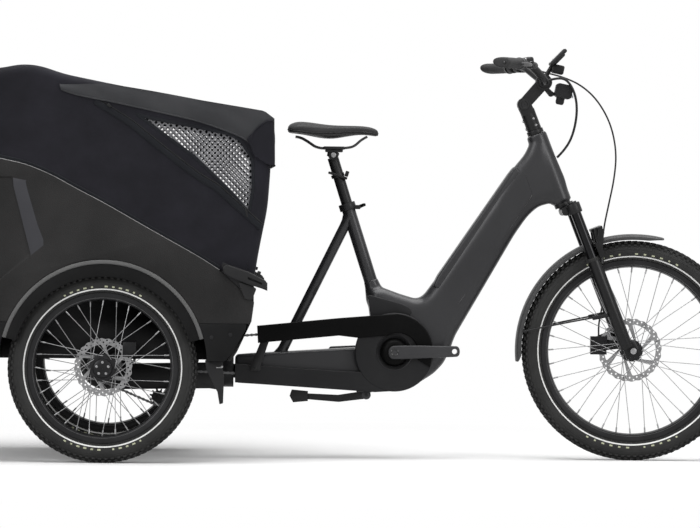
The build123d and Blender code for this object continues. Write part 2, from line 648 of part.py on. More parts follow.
def main_frame():
    """Welded frame: down tube, head tube, motor housing and seat tube, with a seat collar."""
    plan = make_face(Polyline((600, -frame_half), (1120, -frame_half), (1285, -neck_half),
                              (1400, -neck_half), (1400, neck_half), (1285, neck_half),
                              (1120, frame_half), (600, frame_half), close=True))
    body = slab(main_outline(), -frame_half, frame_half) & extrude(plan, 1200, dir=(0, 0, 1))
    head_tube = rod(on_steer(0, 0, 0), on_steer(0, 0, head_len), neck_half)
    body += head_tube
    top, low = (seat_top[0], 0, seat_top[1]), (seat_low[0], 0, seat_low[1])
    body += rod(top, low, seat_tube_r)
    down = (Vector(*low) - Vector(*top)).normalized()
    bore_end = Vector(*top) + down * 250
    body -= rod((Vector(*top) - down * 5), bore_end, post_r + post_gap)
    body -= rod(on_steer(0, 0, -20), on_steer(0, 0, head_len + 20), 18.0)
    body -= disc(crank_x, crank_z, motor_r, -frame_half - 5, frame_half + 5)
    body -= slab(cover_zone(0.5), -frame_half - 5, frame_half + 5)
    low_z, high_z = battery_zone(0.4)
    body -= slab(low_z + high_z, -36.4, 36.4)
    cups = [rod(on_steer(0, 0, -12), on_steer(0, 0, 0), 24.0, fork_steerer_r + 0.05),
            rod(on_steer(0, 0, head_len), on_steer(0, 0, head_len + 12), 24.0, fork_steerer_r + 0.05)]
    start = Vector(*top) - down * 3
    end = Vector(*top) + down * 19
    collar = rod(start, end, 25.0, seat_tube_r + 0.1)
    collar += rod(start, (Vector(*top) - down * 0.2), 25.0, post_r + 0.3)
    hub = lever_hub()
    for y0, y1 in ((-13, -9.3), (9.3, 13)):
        collar += disc(hub.X, hub.Z, 6, y0, y1)
        collar += slab([(hub.X - 14, hub.Z - 5), (hub.X, hub.Z - 6), (hub.X, hub.Z + 6),
                        (hub.X - 14, hub.Z + 2)], y0, y1)
    collar -= rod(start, end + down * 60, seat_tube_r + 0.1) & rod(Vector(*top) - down * 0.2, end, 30)
    collar += disc(hub.X, hub.Z, 2.5, -13, 13)
    return body, *cups, collar


def frame_lengths(body):
    """The frame's welded lengths: head, down tube, seat tube and motor housing."""
    head = slab([(1150, 860), (1196, 690), (1400, 650), (1400, 1000), (1150, 1000)], -60, 60)
    tube = slab([(900, 500), (925, 487), (1010, 325), (1300, 690), (1180, 880)], -60, 60)
    post = block(600, 800, -60, 60, 490, 900)
    return cut_apart(body, head, tube, post)


def lever_hub():
    top, low = Vector(seat_top[0], 0, seat_top[1]), Vector(seat_low[0], 0, seat_low[1])
    return top + (low - top).normalized() * 8 + Vector(32.0, 0, 0)


def battery_zone(gap):
    low, high = (921, 487), (1168, 848)
    return ([along_tube(*low, 24 - gap, cover_depth - 2), along_tube(*low, 24 - gap, 104 + gap)],
            [along_tube(*high, -40 + gap, 104 + gap), along_tube(*high, -40 + gap, cover_depth - 2)])


def battery_parts():
    low, high = battery_zone(0.0)
    pack = slab(low + high, -36, 36) - slab(cover_zone(1.0), -80, 80)
    face = outline(main_outline())
    lid = slab(face & outline(cover_zone(0.0)), -frame_half, frame_half)
    plan = make_face(Polyline((600, -frame_half), (1120, -frame_half), (1285, -neck_half),
                              (1285, neck_half), (1120, frame_half), (600, frame_half), close=True))
    return pack, lid & extrude(plan, 1200, dir=(0, 0, 1))


def rear_beams(main):
    """Beam back to the lean bearing, with the lean shaft, seat stay and stand lug."""
    beam = slab([(lean_x1 + 4, 212), (lean_x1 + 4, 291), (422, 296), (720, 316), (720, 192)], -38, 40)
    shaft = rod((lean_x0 - 32, 0, lean_z), (lean_x1 + 30, 0, lean_z), lean_shaft_r)
    stay = rod((684, 0, 674), (495, 0, 290), 14.5)
    lug = block(714, 758, -44, -16, 186, 240) + disc(742, 181, 13, -44, -38.3) + \
        disc(742, 181, 13, -21.7, -16)
    lug -= disc(742, 181, 13.6, -38.3, -21.7) + block(700, 742, -38.3, -21.7, 170, 198)
    lug += disc(742, 181, 5.0, -38.3, -21.7)
    frame = beam + shaft + stay + lug
    frame -= main
    bore = rod((650, 0, 822), (762, 0, 476), seat_tube_r)
    frame = frame - bore
    return [s for s in frame.solids() if s.volume > 1000]


def motor():
    body = disc(crank_x, crank_z, motor_r - soft_gap, -frame_half + 1, frame_half - 1, spindle_r + 0.1)
    return body


spindle_r = 12.0
cover_y0, cover_y1 = -66.0, -62.0
fork_steerer_r = 14.3
steerer_top = head_len + 58.0


def motor_cover():
    """Round side covers; the right one runs back along the lower chain run."""
    plate = disc(crank_x, crank_z, cover_r, cover_y0, cover_y1)
    plate += slab([(lean_x1 + 4, 214), (lean_x1 + 4, 267), (665, 249), (760, 246), (820, 195), (765, 191)],
                  cover_y0, cover_y1)
    plate -= disc(crank_x, crank_z, drive_hole_r, cover_y0 - 5, cover_y1 + 5)
    for x, z in ((420, 222), (640, 211)):
        plate += disc(x, z, 6, cover_y1, -38.0)
    for a in (200, 250, 300, 350):
        x = crank_x + 100 * math.cos(math.radians(a))
        z = crank_z + 100 * math.sin(math.radians(a))
        plate += disc(x, z, 6, cover_y1, -frame_half)
    left = disc(crank_x, crank_z, 96, frame_half, frame_half + 5, spindle_r + 0.5)
    return plate, left


def chain_guard():
    """Channel over the upper chain run, with its flat bracket."""
    left = 429.0
    arc = ThreePointArc((828, 0, 414), (906, 0, 372), (930, 0, 306))
    edges = [Line((left, 0, 376), (662, 0, 400)), Line((662, 0, 400), (828, 0, 414)), arc,
             Line((930, 0, 306), (922, 0, 262)), Line((922, 0, 262), (885, 0, 284)),
             ThreePointArc((885, 0, 284), (866, 0, 346), (800, 0, 352)),
             Line((800, 0, 352), (716, 0, 344)), Line((716, 0, 344), (662, 0, 350)),
             Line((662, 0, 350), (432, 0, 327)), Line((432, 0, 327), (left, 0, 376))]
    face = make_face(edges)
    guard = slab(face, -76.0, cover_y0 - 0.3)
    guard -= slab(offset(face, amount=-3.0), -73.0, cover_y0 + 1)
    bracket = slab([(440, 332), (462, 334), (440, 262), (412, 262)], -73.0, -70.0)
    bracket += slab([(412, 262), (440, 262), (440, 250), (412, 250)], -73.0, cover_y0 - 0.3)
    return guard, bracket


def cranks():
    """Spindle with both crank arms and the ring carrier."""
    fall = math.radians(crank_rise)

    def arm(sign, y0, y1):
        ex = crank_x + sign * crank_len * math.cos(fall)
        ez = crank_z + sign * crank_len * math.sin(fall)
        nx, nz = -math.sin(fall), math.cos(fall)
        body = slab([(crank_x + 17 * nx, crank_z + 17 * nz), (ex + 12 * nx, ez + 12 * nz),
                     (ex - 12 * nx, ez - 12 * nz), (crank_x - 17 * nx, crank_z - 17 * nz)], y0, y1)
        body += disc(crank_x, crank_z, 17, y0, y1) + disc(ex, ez, 13, y0, y1)
        return body - disc(ex, ez, 7.1, y0 - 1, y1 + 1)

    spindle = disc(crank_x, crank_z, spindle_r, -94.0, 94.0)
    carrier = disc(crank_x, crank_z, 46, chain_y - 8, chain_y - 1.5)
    right = arm(1, -94.0, -80.0) + disc(crank_x, crank_z, 20, -80.0, chain_y - 8)
    left = arm(-1, 80.0, 94.0)
    return spindle + right + carrier + left


def chainring():
    r = pitch_r(ring_teeth)
    ring = toothed(crank_x, crank_z, ring_teeth, spindle_r + 0.0)
    for k in range(4):
        a = math.radians(90 * k + 45)
        ring -= disc(crank_x + (r - 27) * math.cos(a), crank_z + (r - 27) * math.sin(a), 11,
                     chain_y - 5, chain_y + 5)
    return ring


def kickstand():
    y0, y1 = -37.8, -22.2
    leg = disc(742, 181, 12, y0, y1)
    leg += slab([(742, 170), (664, 160), (560, 168), (560, 184), (662, 180), (738, 192)], -36.0, -24.0)
    leg -= disc(742, 181, 5.05, y0 - 1, y1 + 1)
    foot = slab([(576, 162), (534, 158), (524, 176), (530, 194), (576, 190)], -40.0, -20.0)
    leg -= slab([(575.5, 155), (520, 150), (520, 200), (575.5, 197)], -45, -15)
    return leg, foot


# ---------------------------------------------------------------- fork, stem and bars
def fork_upper():
    """Steerer, crown and two stanchions."""
    crown = Pos(11, 0, -26) * Box(66, 2 * leg_half + 40, 28)
    steerer = Pos(0, 0, -30) * Cylinder(fork_steerer_r, steerer_top + 30,
                                        align=(Align.CENTER, Align.CENTER, Align.MIN))
    legs = Part() + [Pos(stanchion_fwd, s * leg_half, -stanchion_len) *
                     Cylinder(stanchion_r, stanchion_len - 30, align=(Align.CENTER, Align.CENTER, Align.MIN))
                     for s in (-1, 1)]
    crown -= Pos(11, 0, -42) * Box(80, 2 * leg_half - 44, 16)
    return steer * (crown + steerer + legs)


drop = to_steer(wheelbase, front_wheel_r)
leg_top = -183.0


def fork_lowers():
    """Lower legs with arch, drop-outs, axle and caliper mount."""
    bottom = drop[1]
    body = Part()
    bores = [Pos(stanchion_fwd, s * leg_half, -stanchion_len - fork_travel - 12) *
             Cylinder(stanchion_r + 0.06, stanchion_len, align=(Align.CENTER, Align.CENTER, Align.MIN))
             for s in (-1, 1)]
    for s, bore in zip((-1, 1), bores):
        leg = Pos(stanchion_fwd, s * leg_half, bottom + 14) * \
            Cylinder(leg_r, leg_top - bottom - 14, align=(Align.CENTER, Align.CENTER, Align.MIN))
        leg -= bore
        tip = Pos(drop[0] - 5, s * (leg_half - 7), bottom + 6) * Box(40, 16, 46)
        body += leg + tip
    arch = Pos(stanchion_fwd + 27, 0, leg_top + 22) * Box(16, 2 * leg_half + 36, 44)
    arch += Pos(72, 0, -112) * Box(14, 2 * leg_half - 18, 22)
    for s in (-1, 1):
        arch += Plane(origin=(60, s * (leg_half - 8), -138), z_dir=(0.45, 0, 1)) * Box(16, 20, 64)
    body += arch
    wheel_room = steer.to_local_coords(disc(wheelbase, front_wheel_r, front_wheel_r + 24.5, -48.0, 48.0))
    body -= wheel_room
    axle = steer.to_local_coords(disc(wheelbase, front_wheel_r, front_axle_r,
                                      -leg_half - 6, leg_half + 6))
    ends = steer.to_local_coords(disc(wheelbase, front_wheel_r, 12, -leg_half - 8, -leg_half + 1) +
                                 disc(wheelbase, front_wheel_r, 12, leg_half - 1, leg_half + 8))
    spacers = steer.to_local_coords(disc(wheelbase, front_wheel_r, 12, -leg_half + 1, -48.3) +
                                    disc(wheelbase, front_wheel_r, 12, 48.3, leg_half - 1))
    mount = slab([(1396, 348), (1452, 372), (1490, 372), (1490, 318), (1396, 308)],
                 rotor_out + 15 + soft_gap, leg_half - 2)
    mount -= steer * bores[1]
    return steer * (body + axle + ends + spacers) + mount


def front_caliper():
    """Caliper on the left leg, behind the leg, around the disc."""
    body = block(1386, 1434, rotor_out - 9, rotor_out + 15, 300, 352)
    slot = disc(wheelbase, front_wheel_r, front_rotor_r + 2, rotor_out - 2, rotor_out + 2)
    body -= slot
    body -= disc(wheelbase, front_wheel_r, 68.0, 0, 100)
    return body


def front_fender():
    """Front mudguard with its two stay rods."""
    r_out, r_side = 333.0, 318.0
    band = turned([(r_out, -33), (r_out, 33), (r_out - 14, 36), (r_side - 3, 36), (r_side - 3, 34),
                   (r_out - 14, 34), (r_out - 2, 31), (r_out - 2, -31), (r_out - 14, -34),
                   (r_side - 3, -34), (r_side - 3, -36), (r_out - 14, -36)], wheelbase, 0, front_wheel_r)
    a0, a1 = math.radians(74.5), math.radians(186)
    reach = 700.0
    mid = (a0 + a1) / 2
    wedge = [(wheelbase, front_wheel_r), (wheelbase + reach * math.cos(a0), front_wheel_r + reach * math.sin(a0)),
             (wheelbase + reach * math.cos(mid), front_wheel_r + reach * math.sin(mid)),
             (wheelbase + reach * math.cos(a1), front_wheel_r + reach * math.sin(a1))]
    band &= slab(wedge, -60, 60)
    band += steer * (Pos(70, 0, -128.4) * Box(12, 24, 10))
    stays = []
    for s in (-1, 1):
        stays.append(tube_path([(1187.5, s * 39.2, 366), (1300, s * 60.0, 392), (1425.5, s * 75.0, 415.6)], 3.0, 60.0))
    return band, *stays


def stem_lower():
    """Stem base clamped on the steerer, with two ears for the tilt pivot."""
    base = rod(on_steer(0, 0, head_len + 12.3), on_steer(0, 0, head_len + 72), 21.0)
    ears = Part()
    for y0, y1 in ((-21, -14), (14, 21)):
        ears += disc(stem_x, stem_z, 19, y0, y1)
        low = on_steer(0, 0, head_len + 60)
        nx = math.cos(head_tilt) * 19
        nz = math.sin(head_tilt) * 19
        ears += slab([(low[0] - nx, low[2] - nz), (low[0] + nx, low[2] + nz),
                      (stem_x + nx, stem_z + nz), (stem_x - nx, stem_z - nz)], y0, y1)
    pin = disc(stem_x, stem_z, 6.0, -21, 21)
    body = base - disc(stem_x, stem_z, 22, -13.9, 13.9)
    body -= rod(on_steer(0, 0, head_len), on_steer(0, 0, steerer_top + 0.2), fork_steerer_r + 0.05)
    return body + ears + pin


def stem_upper():
    """Stem arm from the tilt pivot to the bar clamp."""
    arm = disc(stem_x, stem_z, 19, -13.7, 13.7)
    dx, dz = bar_x - stem_x, bar_z - stem_z
    n = math.hypot(dx, dz)
    nx, nz = -dz / n, dx / n
    arm += slab([(stem_x + 17 * nx, stem_z + 17 * nz), (bar_x + 18 * nx, bar_z + 18 * nz),
                 (bar_x - 18 * nx, bar_z - 18 * nz), (stem_x - 17 * nx, stem_z - 17 * nz)], -13.7, 13.7)
    arm += disc(bar_x, bar_z, 23, -22, 22)
    arm -= disc(bar_x, bar_z, bar_clamp_r + 0.1, -30, 30)
    arm -= disc(stem_x, stem_z, 6.05, -30, 30)
    for y0, y1 in ((-9, -4.8), (4.8, 9)):
        ear = disc(lamp_x, lamp_z, 8, y0, y1)
        ear += slab([(1240, 1058), (1256, 1060), (lamp_x + 6, lamp_z + 5), (lamp_x - 6, lamp_z - 5)], y0, y1)
        arm += ear
    return arm + disc(lamp_x, lamp_z, 3.0, -9, 9)


grip_start = (1196.0, 128.0, 1123.5)
grip_end = (1110.0, bar_half, 1123.0)


def grip_point(t, up=0.0, ahead=0.0):
    """Point along the grip's straight run, moved up and ahead of it."""
    a, b = Vector(*grip_start), Vector(*grip_end)
    p = a + (b - a) * t
    run = (b - a).normalized()
    out = Vector(run.Y, -run.X, 0)
    return p + out * ahead + Vector(0, 0, up)


def handlebar():
    """Swept-back bar with two grips."""
    path = [(bar_x, 0, bar_z), (bar_x, 60, bar_z), grip_start, grip_end]
    both = [(x, -y, z) for x, y, z in reversed(path[1:])] + path[1:]
    bar = tube_path(both, bar_r, [45, 40, 40, 45])
    bar += disc(bar_x, bar_z, bar_clamp_r, -26, 26)
    grips = []
    for s in (-1, 1):
        a, b = grip_point(0.45), grip_point(1.0)
        end = grip_point(1.02)
        tube = rod(a, b, 16.5, bar_r + 0.1) + rod(b, end, 16.5)
        grips.append(tube if s > 0 else mirrored(tube))
    return bar, *grips


def bar_controls():
    """Brake perches, display and remote."""
    made = []
    a, b = grip_point(0.31), grip_point(0.42)
    perch = rod(a, b, 16.0, bar_r + 0.1)
    near, far = grip_point(0.27, -4, 30), grip_point(0.39, -4, 34)
    body = rod(near, far, 9.0)
    link = rod(grip_point(0.365, 0, 12.5), grip_point(0.365, -3, 26), 8.0)
    perch += body + link
    pivot = grip_point(0.45, -4, 34)
    ears = Pos(*pivot) * (Pos(0, 0, 8) * Cylinder(8, 3) + Pos(0, 0, -8) * Cylinder(8, 3) +
                          Cylinder(2.5, 16))
    ears += rod(grip_point(0.38, 4, 34), grip_point(0.45, 4, 34), 1.5)
    ears += rod(grip_point(0.38, -12, 34), grip_point(0.45, -12, 34), 1.5)
    perch += ears
    made += [perch, mirrored(perch)]
    hold = rod((bar_x, 30, bar_z), (bar_x, 44, bar_z), 17.0, bar_r + 0.1)
    screen = Plane(origin=(1282, 20, 1149), x_dir=(0.70, 0, 0.72), z_dir=(-0.72, 0, 0.70)) * Box(62, 84, 10)
    post = rod((bar_x + 6, 37, bar_z + 14), (1276, 37, 1141), 5.0)
    made.append(hold + screen + post)
    remote = rod(grip_point(0.12), grip_point(0.24), 15.0, bar_r + 0.1)
    top = grip_point(0.18, 20, 10)
    remote += rod(grip_point(0.18, 10, 4), top, 12.0)
    remote -= rod(grip_point(0.1), grip_point(0.26), bar_r + 0.1)
    remote -= rod(top - (top - grip_point(0.18, 10, 4)).normalized() * 7, top, stem_hole_r)
    made.append(remote)
    return made


def brake_lever():
    pivot = grip_point(0.45, -4, 34)
    blade = Pos(*pivot) * (Cylinder(7.5, 10) - Cylinder(2.55, 12))
    mid, tip = grip_point(0.62, -4, 46), grip_point(0.94, -4, 44)
    near = grip_point(0.473, -4, 36)
    blade += rod(near, mid, 4.6) + rod(mid, tip, 4.6)
    blade += Pos(*mid) * Sphere(4.6) + Pos(*tip) * Sphere(6.0)
    return blade - Pos(*pivot) * Cylinder(2.55, 20)


def horn_button():
    top = grip_point(0.18, 20, 10)
    base = grip_point(0.18, 10, 4)
    way = (top - base).normalized()
    cap = rod(top + way * (button_travel + soft_gap), top + way * (button_travel + 4), 7.0)
    return cap + rod(top - way * 4, top + way * (button_travel + 1), stem_hole_r - 0.3)


def headlight():
    """Lamp body hung under the bar clamp."""
    body = Plane(origin=(1298, 0, 1052), x_dir=(0.98, 0, -0.2), z_dir=(0.2, 0, 0.98)) * Box(48, 54, 40)
    body = fillet(body.edges().filter_by(Axis.Y), 9.0)
    body += disc(lamp_x, lamp_z, 7, -4.5, 4.5) + block(lamp_x, 1280, -4.5, 4.5, lamp_z - 5, lamp_z + 5)
    return body - disc(lamp_x, lamp_z, 3.05, -20, 20)


# ---------------------------------------------------------------- seat
def seat_parts():
    top, low = Vector(seat_top[0], 0, seat_top[1]), Vector(seat_low[0], 0, seat_low[1])
    down = (low - top).normalized()
    head = top - down * 140
    post = rod((top + down * 120), head, post_r)
    clamp = disc(642, 863, 15, -20, 20) + rod(head, (642, 0, 863), post_r)
    ring = rod((top - down * 82), (top - down * 72), 19.0, post_r)
    post = post + clamp + ring
    rails = []
    for s in (-1, 1):
        path = [(541, s * 22, 918), (578, s * 22, 897), (600, s * 22, 881), (690, s * 22, 886),
                (735, s * 20, 914)]
        rails.append(tube_path(path, 3.5, [24, 18, 40]))
    yoke = block(612, 676, -28, 28, 872, 890) - disc(642, 863, 15.1, -30, 30)
    for s in (-1, 1):
        yoke -= rod((560, s * 22, 878.8), (730, s * 22, 888.2), 3.8)
    shell = saddle_body([(515, 926), (541, 934), (654, 924), (732, 926), (764, 915), (735, 908),
                         (640, 904), (541, 908)], 0.0)
    shell_cut = Part() + [r for r in rails]
    shell -= shell_cut
    cushion = saddle_body([(515, 935), (528, 949), (541, 957), (600, 950), (654, 946), (732, 946),
                           (760, 937), (770, 925), (764, 916), (732, 927), (654, 925), (541, 935),
                           (516, 927)], 3.0)
    return post, rails, yoke, shell, cushion


def saddle_body(points, grow):
    """Side view cut to the saddle's plan."""
    plan = Polyline((512, -70 - grow, 0), (545, -78 - grow, 0), (600, -62 - grow, 0),
                    (665, -28 - grow, 0), (745, -19 - grow, 0), (772, -10, 0), (772, 10, 0),
                    (745, 19 + grow, 0), (665, 28 + grow, 0), (600, 62 + grow, 0),
                    (545, 78 + grow, 0), (512, 70 + grow, 0), close=True)
    column = extrude(Pos(0, 0, 800) * make_face(plan), 250, dir=(0, 0, 1))
    return slab(points, -120, 120) & column


def seat_lever():
    """Quick-release lever on the seat collar."""
    hub = lever_hub()
    body = disc(hub.X, hub.Z, 5.0, -9, 9)
    body += slab([(hub.X, hub.Z - 5), (hub.X + 20, hub.Z + 4), (hub.X + 18, hub.Z + 11),
                  (hub.X, hub.Z + 5)], -8, 8)
    return body - disc(hub.X, hub.Z, 2.55, -10, 10)


# ---------------------------------------------------------------- hoses and cables
hose_points = [(1200.8, 194.8, 1119.4), (1211, 170, 1119), (1231, 141, 1115), (1264, 119, 1106),
               (1309, 108, 1094), (1358, 108, 1072), (1405, 110, 1030),
               (1444, 110, 962), (1461, 108, 880), (1455, 106, 805), (1440, 104, 733),
               (1424, 102, 655), (1421, 100, 580), (1426, 98, 505), (1424, 94, 442),
               (1415, 81, 402), (1410, 58, 375), (1410, 46, 353.8)]
cable_points = [(1251.4, -38, 1081.9), (1279, -38, 1090), (1306, -38, 1084), (1328, -37, 1048), (1336, -32, 998),
                (1328, -23, 938), (1308, -12, 890), (1281.5, -3, 863)]
hose_d, cable_d = 5.0, 7.0


def build():
    front_wheel()
    rear_wheel(-1, "right")
    rear_wheel(1, "left")
    save("rear_subframe", rear_subframe())
    save("axle_housing", axle_housing())
    save("rear_calipers", *rear_calipers())
    save("lower_tub", *lower_tub())
    save("side_panel_right", side_panel(-1))
    save("side_panel_left", side_panel(1))
    save("front_panel", front_panel())
    save("tailgate", *tailgate())
    save("fenders", *fenders())
    save("bench", *bench())
    save("canopy", *canopy())
    save("canopy_hoops", *canopy_hoops())
    save("visor_flap", visor_flap())
    save("corner_handles", *corner_handles())
    rear_chain, front_chain = chain()
    save("chain_rear", *rear_chain)
    save("chain_front", *front_chain)
    ride_r = housing_r - soft_gap + 0.08
    save("rear_sprocket", toothed(0, rear_wheel_r, sprocket_teeth, ride_r) +
         disc(0, rear_wheel_r, 38, chain_y + 1.2, chain_y + 21, ride_r))
    arm, pulley, roller = tensioner()
    save("tensioner_arm", arm)
    save("tension_pulley", pulley)
    save("guide_roller", roller)
    main, *rings = main_frame()
    save("main_frame", *frame_lengths(main), *rings)
    save("rear_beams", *rear_beams(main))
    pack, lid = battery_parts()
    save("battery", pack)
    save("battery_cover", lid)
    save("motor", motor())
    save("motor_cover", *motor_cover())
    save("chain_guard", *chain_guard())
    save("cranks", cranks())
    save("chainring", chainring())
    save("kickstand", *kickstand())
    save("fork_upper", fork_upper())
    save("fork_lowers", fork_lowers())
    save("front_caliper", front_caliper())
    save("front_fender", *front_fender())
    save("stem_lower", stem_lower())
    save("stem_upper", stem_upper())
    save("handlebar", *handlebar())
    save("bar_controls", *bar_controls())
    save("brake_lever_left", brake_lever())
    save("brake_lever_right", mirrored(brake_lever()))
    save("horn_button", horn_button())
    save("headlight", headlight())
    post, rails, yoke, shell, cushion = seat_parts()
    save("seatpost", post, yoke, *rails)
    save("saddle_shell", shell)
    save("saddle_cushion", cushion)
    save("seat_lever", seat_lever())
    save("brake_hose", cord("brake_hose", hose_points, hose_d))
    save("cable_bundle", cord("cable_bundle", cable_points, cable_d))


build()
os.makedirs("parts", exist_ok=True)
for node, solids in nodes.items():
    flat = [s for group in solids for s in group.solids()]
    export_step(Compound(children=flat) if len(flat) > 1 else flat[0], "parts/" + node + ".step")
print(len(nodes), "nodes", sum(len(s) for s in nodes.values()), "solids; origin at x", mid_x)
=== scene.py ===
import bpy
import json
import math
from mathutils import Matrix, Vector, noise


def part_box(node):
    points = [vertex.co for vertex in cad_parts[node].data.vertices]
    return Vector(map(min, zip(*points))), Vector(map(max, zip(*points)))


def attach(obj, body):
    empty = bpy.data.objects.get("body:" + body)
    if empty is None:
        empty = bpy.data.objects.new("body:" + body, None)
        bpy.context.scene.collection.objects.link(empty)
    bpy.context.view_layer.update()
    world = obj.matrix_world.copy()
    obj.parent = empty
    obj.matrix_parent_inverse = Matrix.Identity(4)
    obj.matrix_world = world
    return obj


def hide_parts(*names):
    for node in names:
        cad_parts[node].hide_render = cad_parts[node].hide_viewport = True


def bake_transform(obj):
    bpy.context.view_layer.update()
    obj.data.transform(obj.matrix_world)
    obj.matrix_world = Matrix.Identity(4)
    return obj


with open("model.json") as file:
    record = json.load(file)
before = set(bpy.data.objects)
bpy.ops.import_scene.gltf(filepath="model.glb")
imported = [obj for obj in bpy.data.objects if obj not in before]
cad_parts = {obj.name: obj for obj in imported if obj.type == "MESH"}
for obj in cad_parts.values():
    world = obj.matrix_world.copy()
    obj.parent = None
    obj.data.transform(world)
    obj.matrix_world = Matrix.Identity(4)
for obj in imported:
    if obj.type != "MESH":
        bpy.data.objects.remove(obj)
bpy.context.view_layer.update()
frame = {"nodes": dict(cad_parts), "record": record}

MM = 0.001

# ------------------------------------------------------------------ places taken from the frame


def middle(node):
    low, high = (Vector(c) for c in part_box(node))
    return (low + high) / 2


AXLE = middle("rim_rear_right")          # right rear wheel's middle
AXLE_X = AXLE.x
REAR_Y = abs(AXLE.y)
REAR_Z = AXLE.z
FRONT = middle("rim_front")
CRANK = middle("chainring")
BOX_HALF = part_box("side_panel_left")[1][1]


def at(x, z, y=0.0):
    """Millimetres ahead of the rear axle, above the ground and to the left, as a frame point."""
    return Vector((AXLE_X + x * MM, y * MM, z * MM))


# ------------------------------------------------------------------ operator helpers
def deselect():
    if bpy.context.object and bpy.context.object.mode != "OBJECT":
        bpy.ops.object.mode_set(mode="OBJECT")
    bpy.ops.object.select_all(action="DESELECT")


def pick(*objs):
    deselect()
    for o in objs:
        o.select_set(True)
    bpy.context.view_layer.objects.active = objs[0]


def edit_all(obj):
    pick(obj)
    bpy.ops.object.mode_set(mode="EDIT")
    bpy.ops.mesh.select_mode(type="VERT")
    bpy.ops.mesh.select_all(action="SELECT")


def done():
    bpy.ops.object.mode_set(mode="OBJECT")
    return bpy.context.object


def apply_modifier(obj, kind, **settings):
    pick(obj)
    mod = obj.modifiers.new(kind.title(), kind)
    for key, value in settings.items():
        setattr(mod, key, value)
    bpy.ops.object.modifier_apply(modifier=mod.name)
    return obj


def smooth(obj, angle=35):
    pick(obj)
    bpy.ops.object.shade_smooth_by_angle(angle=math.radians(angle))
    return obj


def finish_piece(obj, name, body, material, angle=35, replaces=()):
    """Names a piece, gives it its finish and body, and shades it."""
    obj.name = name
    obj.data.name = name
    obj.data.materials.clear()
    obj.data.materials.append(material)
    if angle:
        smooth(obj, angle)
    if replaces:
        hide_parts(*replaces)
    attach(obj, body)
    return obj


def join(first, *others):
    pick(first, *others)
    bpy.ops.object.join()
    return bpy.context.object


def ring_of(points):
    """A closed outline as an edge loop, started from a primitive circle."""
    deselect()
    bpy.ops.mesh.primitive_circle_add(vertices=len(points), radius=1, fill_type="NOTHING")
    obj = bpy.context.object
    for v, p in zip(obj.data.vertices, points):
        v.co = p
    return obj


def plate(points, y0, y1, bevel=0.0, segments=2):
    """Side-view outline in mm, filled, pushed from y0 to y1 and with its edges broken."""
    deselect()
    bpy.ops.mesh.primitive_circle_add(vertices=len(points), radius=1, fill_type="NGON")
    obj = bpy.context.object
    for v, (x, z) in zip(obj.data.vertices, points):
        v.co = at(x, z, y0)
    edit_all(obj)
    move = (0, (y1 - y0) * MM, 0)
    bpy.ops.mesh.extrude_region_move(TRANSFORM_OT_translate={"value": move})
    bpy.ops.mesh.select_all(action="SELECT")
    bpy.ops.mesh.normals_make_consistent(inside=False)
    done()
    if bevel:
        apply_modifier(obj, "BEVEL", width=bevel * MM, segments=segments, limit_method="ANGLE",
                       angle_limit=math.radians(50))
    return obj


def lathe(profile, centre, steps=96, bevel=0.0):
    """Profile of (radius, y) in mm spun about a cross axle."""
    points = [centre + Vector((r * MM, y * MM, 0)) for r, y in profile]
    obj = ring_of(points)
    edit_all(obj)
    bpy.ops.mesh.spin(steps=steps, angle=2 * math.pi, center=centre, axis=(0, 1, 0))
    bpy.ops.mesh.select_all(action="SELECT")
    bpy.ops.mesh.remove_doubles(threshold=1e-6)
    bpy.ops.mesh.normals_make_consistent(inside=False)
    done()
    if bevel:
        apply_modifier(obj, "BEVEL", width=bevel * MM, segments=2, limit_method="ANGLE",
                       angle_limit=math.radians(40))
    return obj


def tube(points, radius, sides=12, closed=False, order=3):
    """Round tube along chosen points, as a mesh."""
    curve = bpy.data.curves.new("tube", "CURVE")
    curve.dimensions = "3D"
    spline = curve.splines.new("NURBS")
    spline.points.add(len(points) - 1)
    for sp, p in zip(spline.points, points):
        sp.co = (*p, 1)
    spline.order_u = order
    if closed:
        spline.use_cyclic_u = True
    else:
        spline.use_endpoint_u = True
    spline.resolution_u = 6
    curve.bevel_depth = radius * MM
    curve.bevel_resolution = max(1, sides // 4 - 1)
    curve.use_fill_caps = True
    obj = bpy.data.objects.new("tube", curve)
    bpy.context.scene.collection.objects.link(obj)
    pick(obj)
    bpy.ops.object.convert(target="MESH")
    obj = bpy.context.object
    edit_all(obj)
    bpy.ops.mesh.remove_doubles(threshold=1e-6)
    bpy.ops.mesh.normals_make_consistent(inside=False)
    return done()


def softened(node, width=1.0, segments=2, flat=1.5):
    """A copy of a CAD piece with its sharp edges broken."""
    source = frame["nodes"][node]
    obj = source.copy()
    obj.data = source.data.copy()
    bpy.context.scene.collection.objects.link(obj)
    obj.parent = None
    obj.matrix_world = Matrix.Identity(4)
    for key in list(obj.keys()):
        del obj[key]
    edit_all(obj)
    bpy.ops.mesh.remove_doubles(threshold=1e-6)
    bpy.ops.mesh.dissolve_limited(angle_limit=math.radians(flat), use_dissolve_boundaries=False)
    done()
    apply_modifier(obj, "BEVEL", width=width * MM, segments=segments, limit_method="ANGLE",
                   angle_limit=math.radians(38), use_clamp_overlap=True, harden_normals=False)
    return obj


def body_of(node):
    for name, members in frame["record"]["behaviour"]["bodies"].items():
        if node in members:
            return name
    return "rear_module"


def soften_node(node, material, width=1.0, segments=2):
    obj = softened(node, width, segments)
    return finish_piece(obj, node + "_finished", body_of(node), material, 40, (node,))


# ------------------------------------------------------------------ finishes
def new_material(name):
    m = bpy.data.materials.new(name)
    m.use_nodes = True
    nodes = m.node_tree.nodes
    shader = nodes["Principled BSDF"]
    coords = nodes.new("ShaderNodeTexCoord")
    return m, nodes, m.node_tree.links, shader, coords


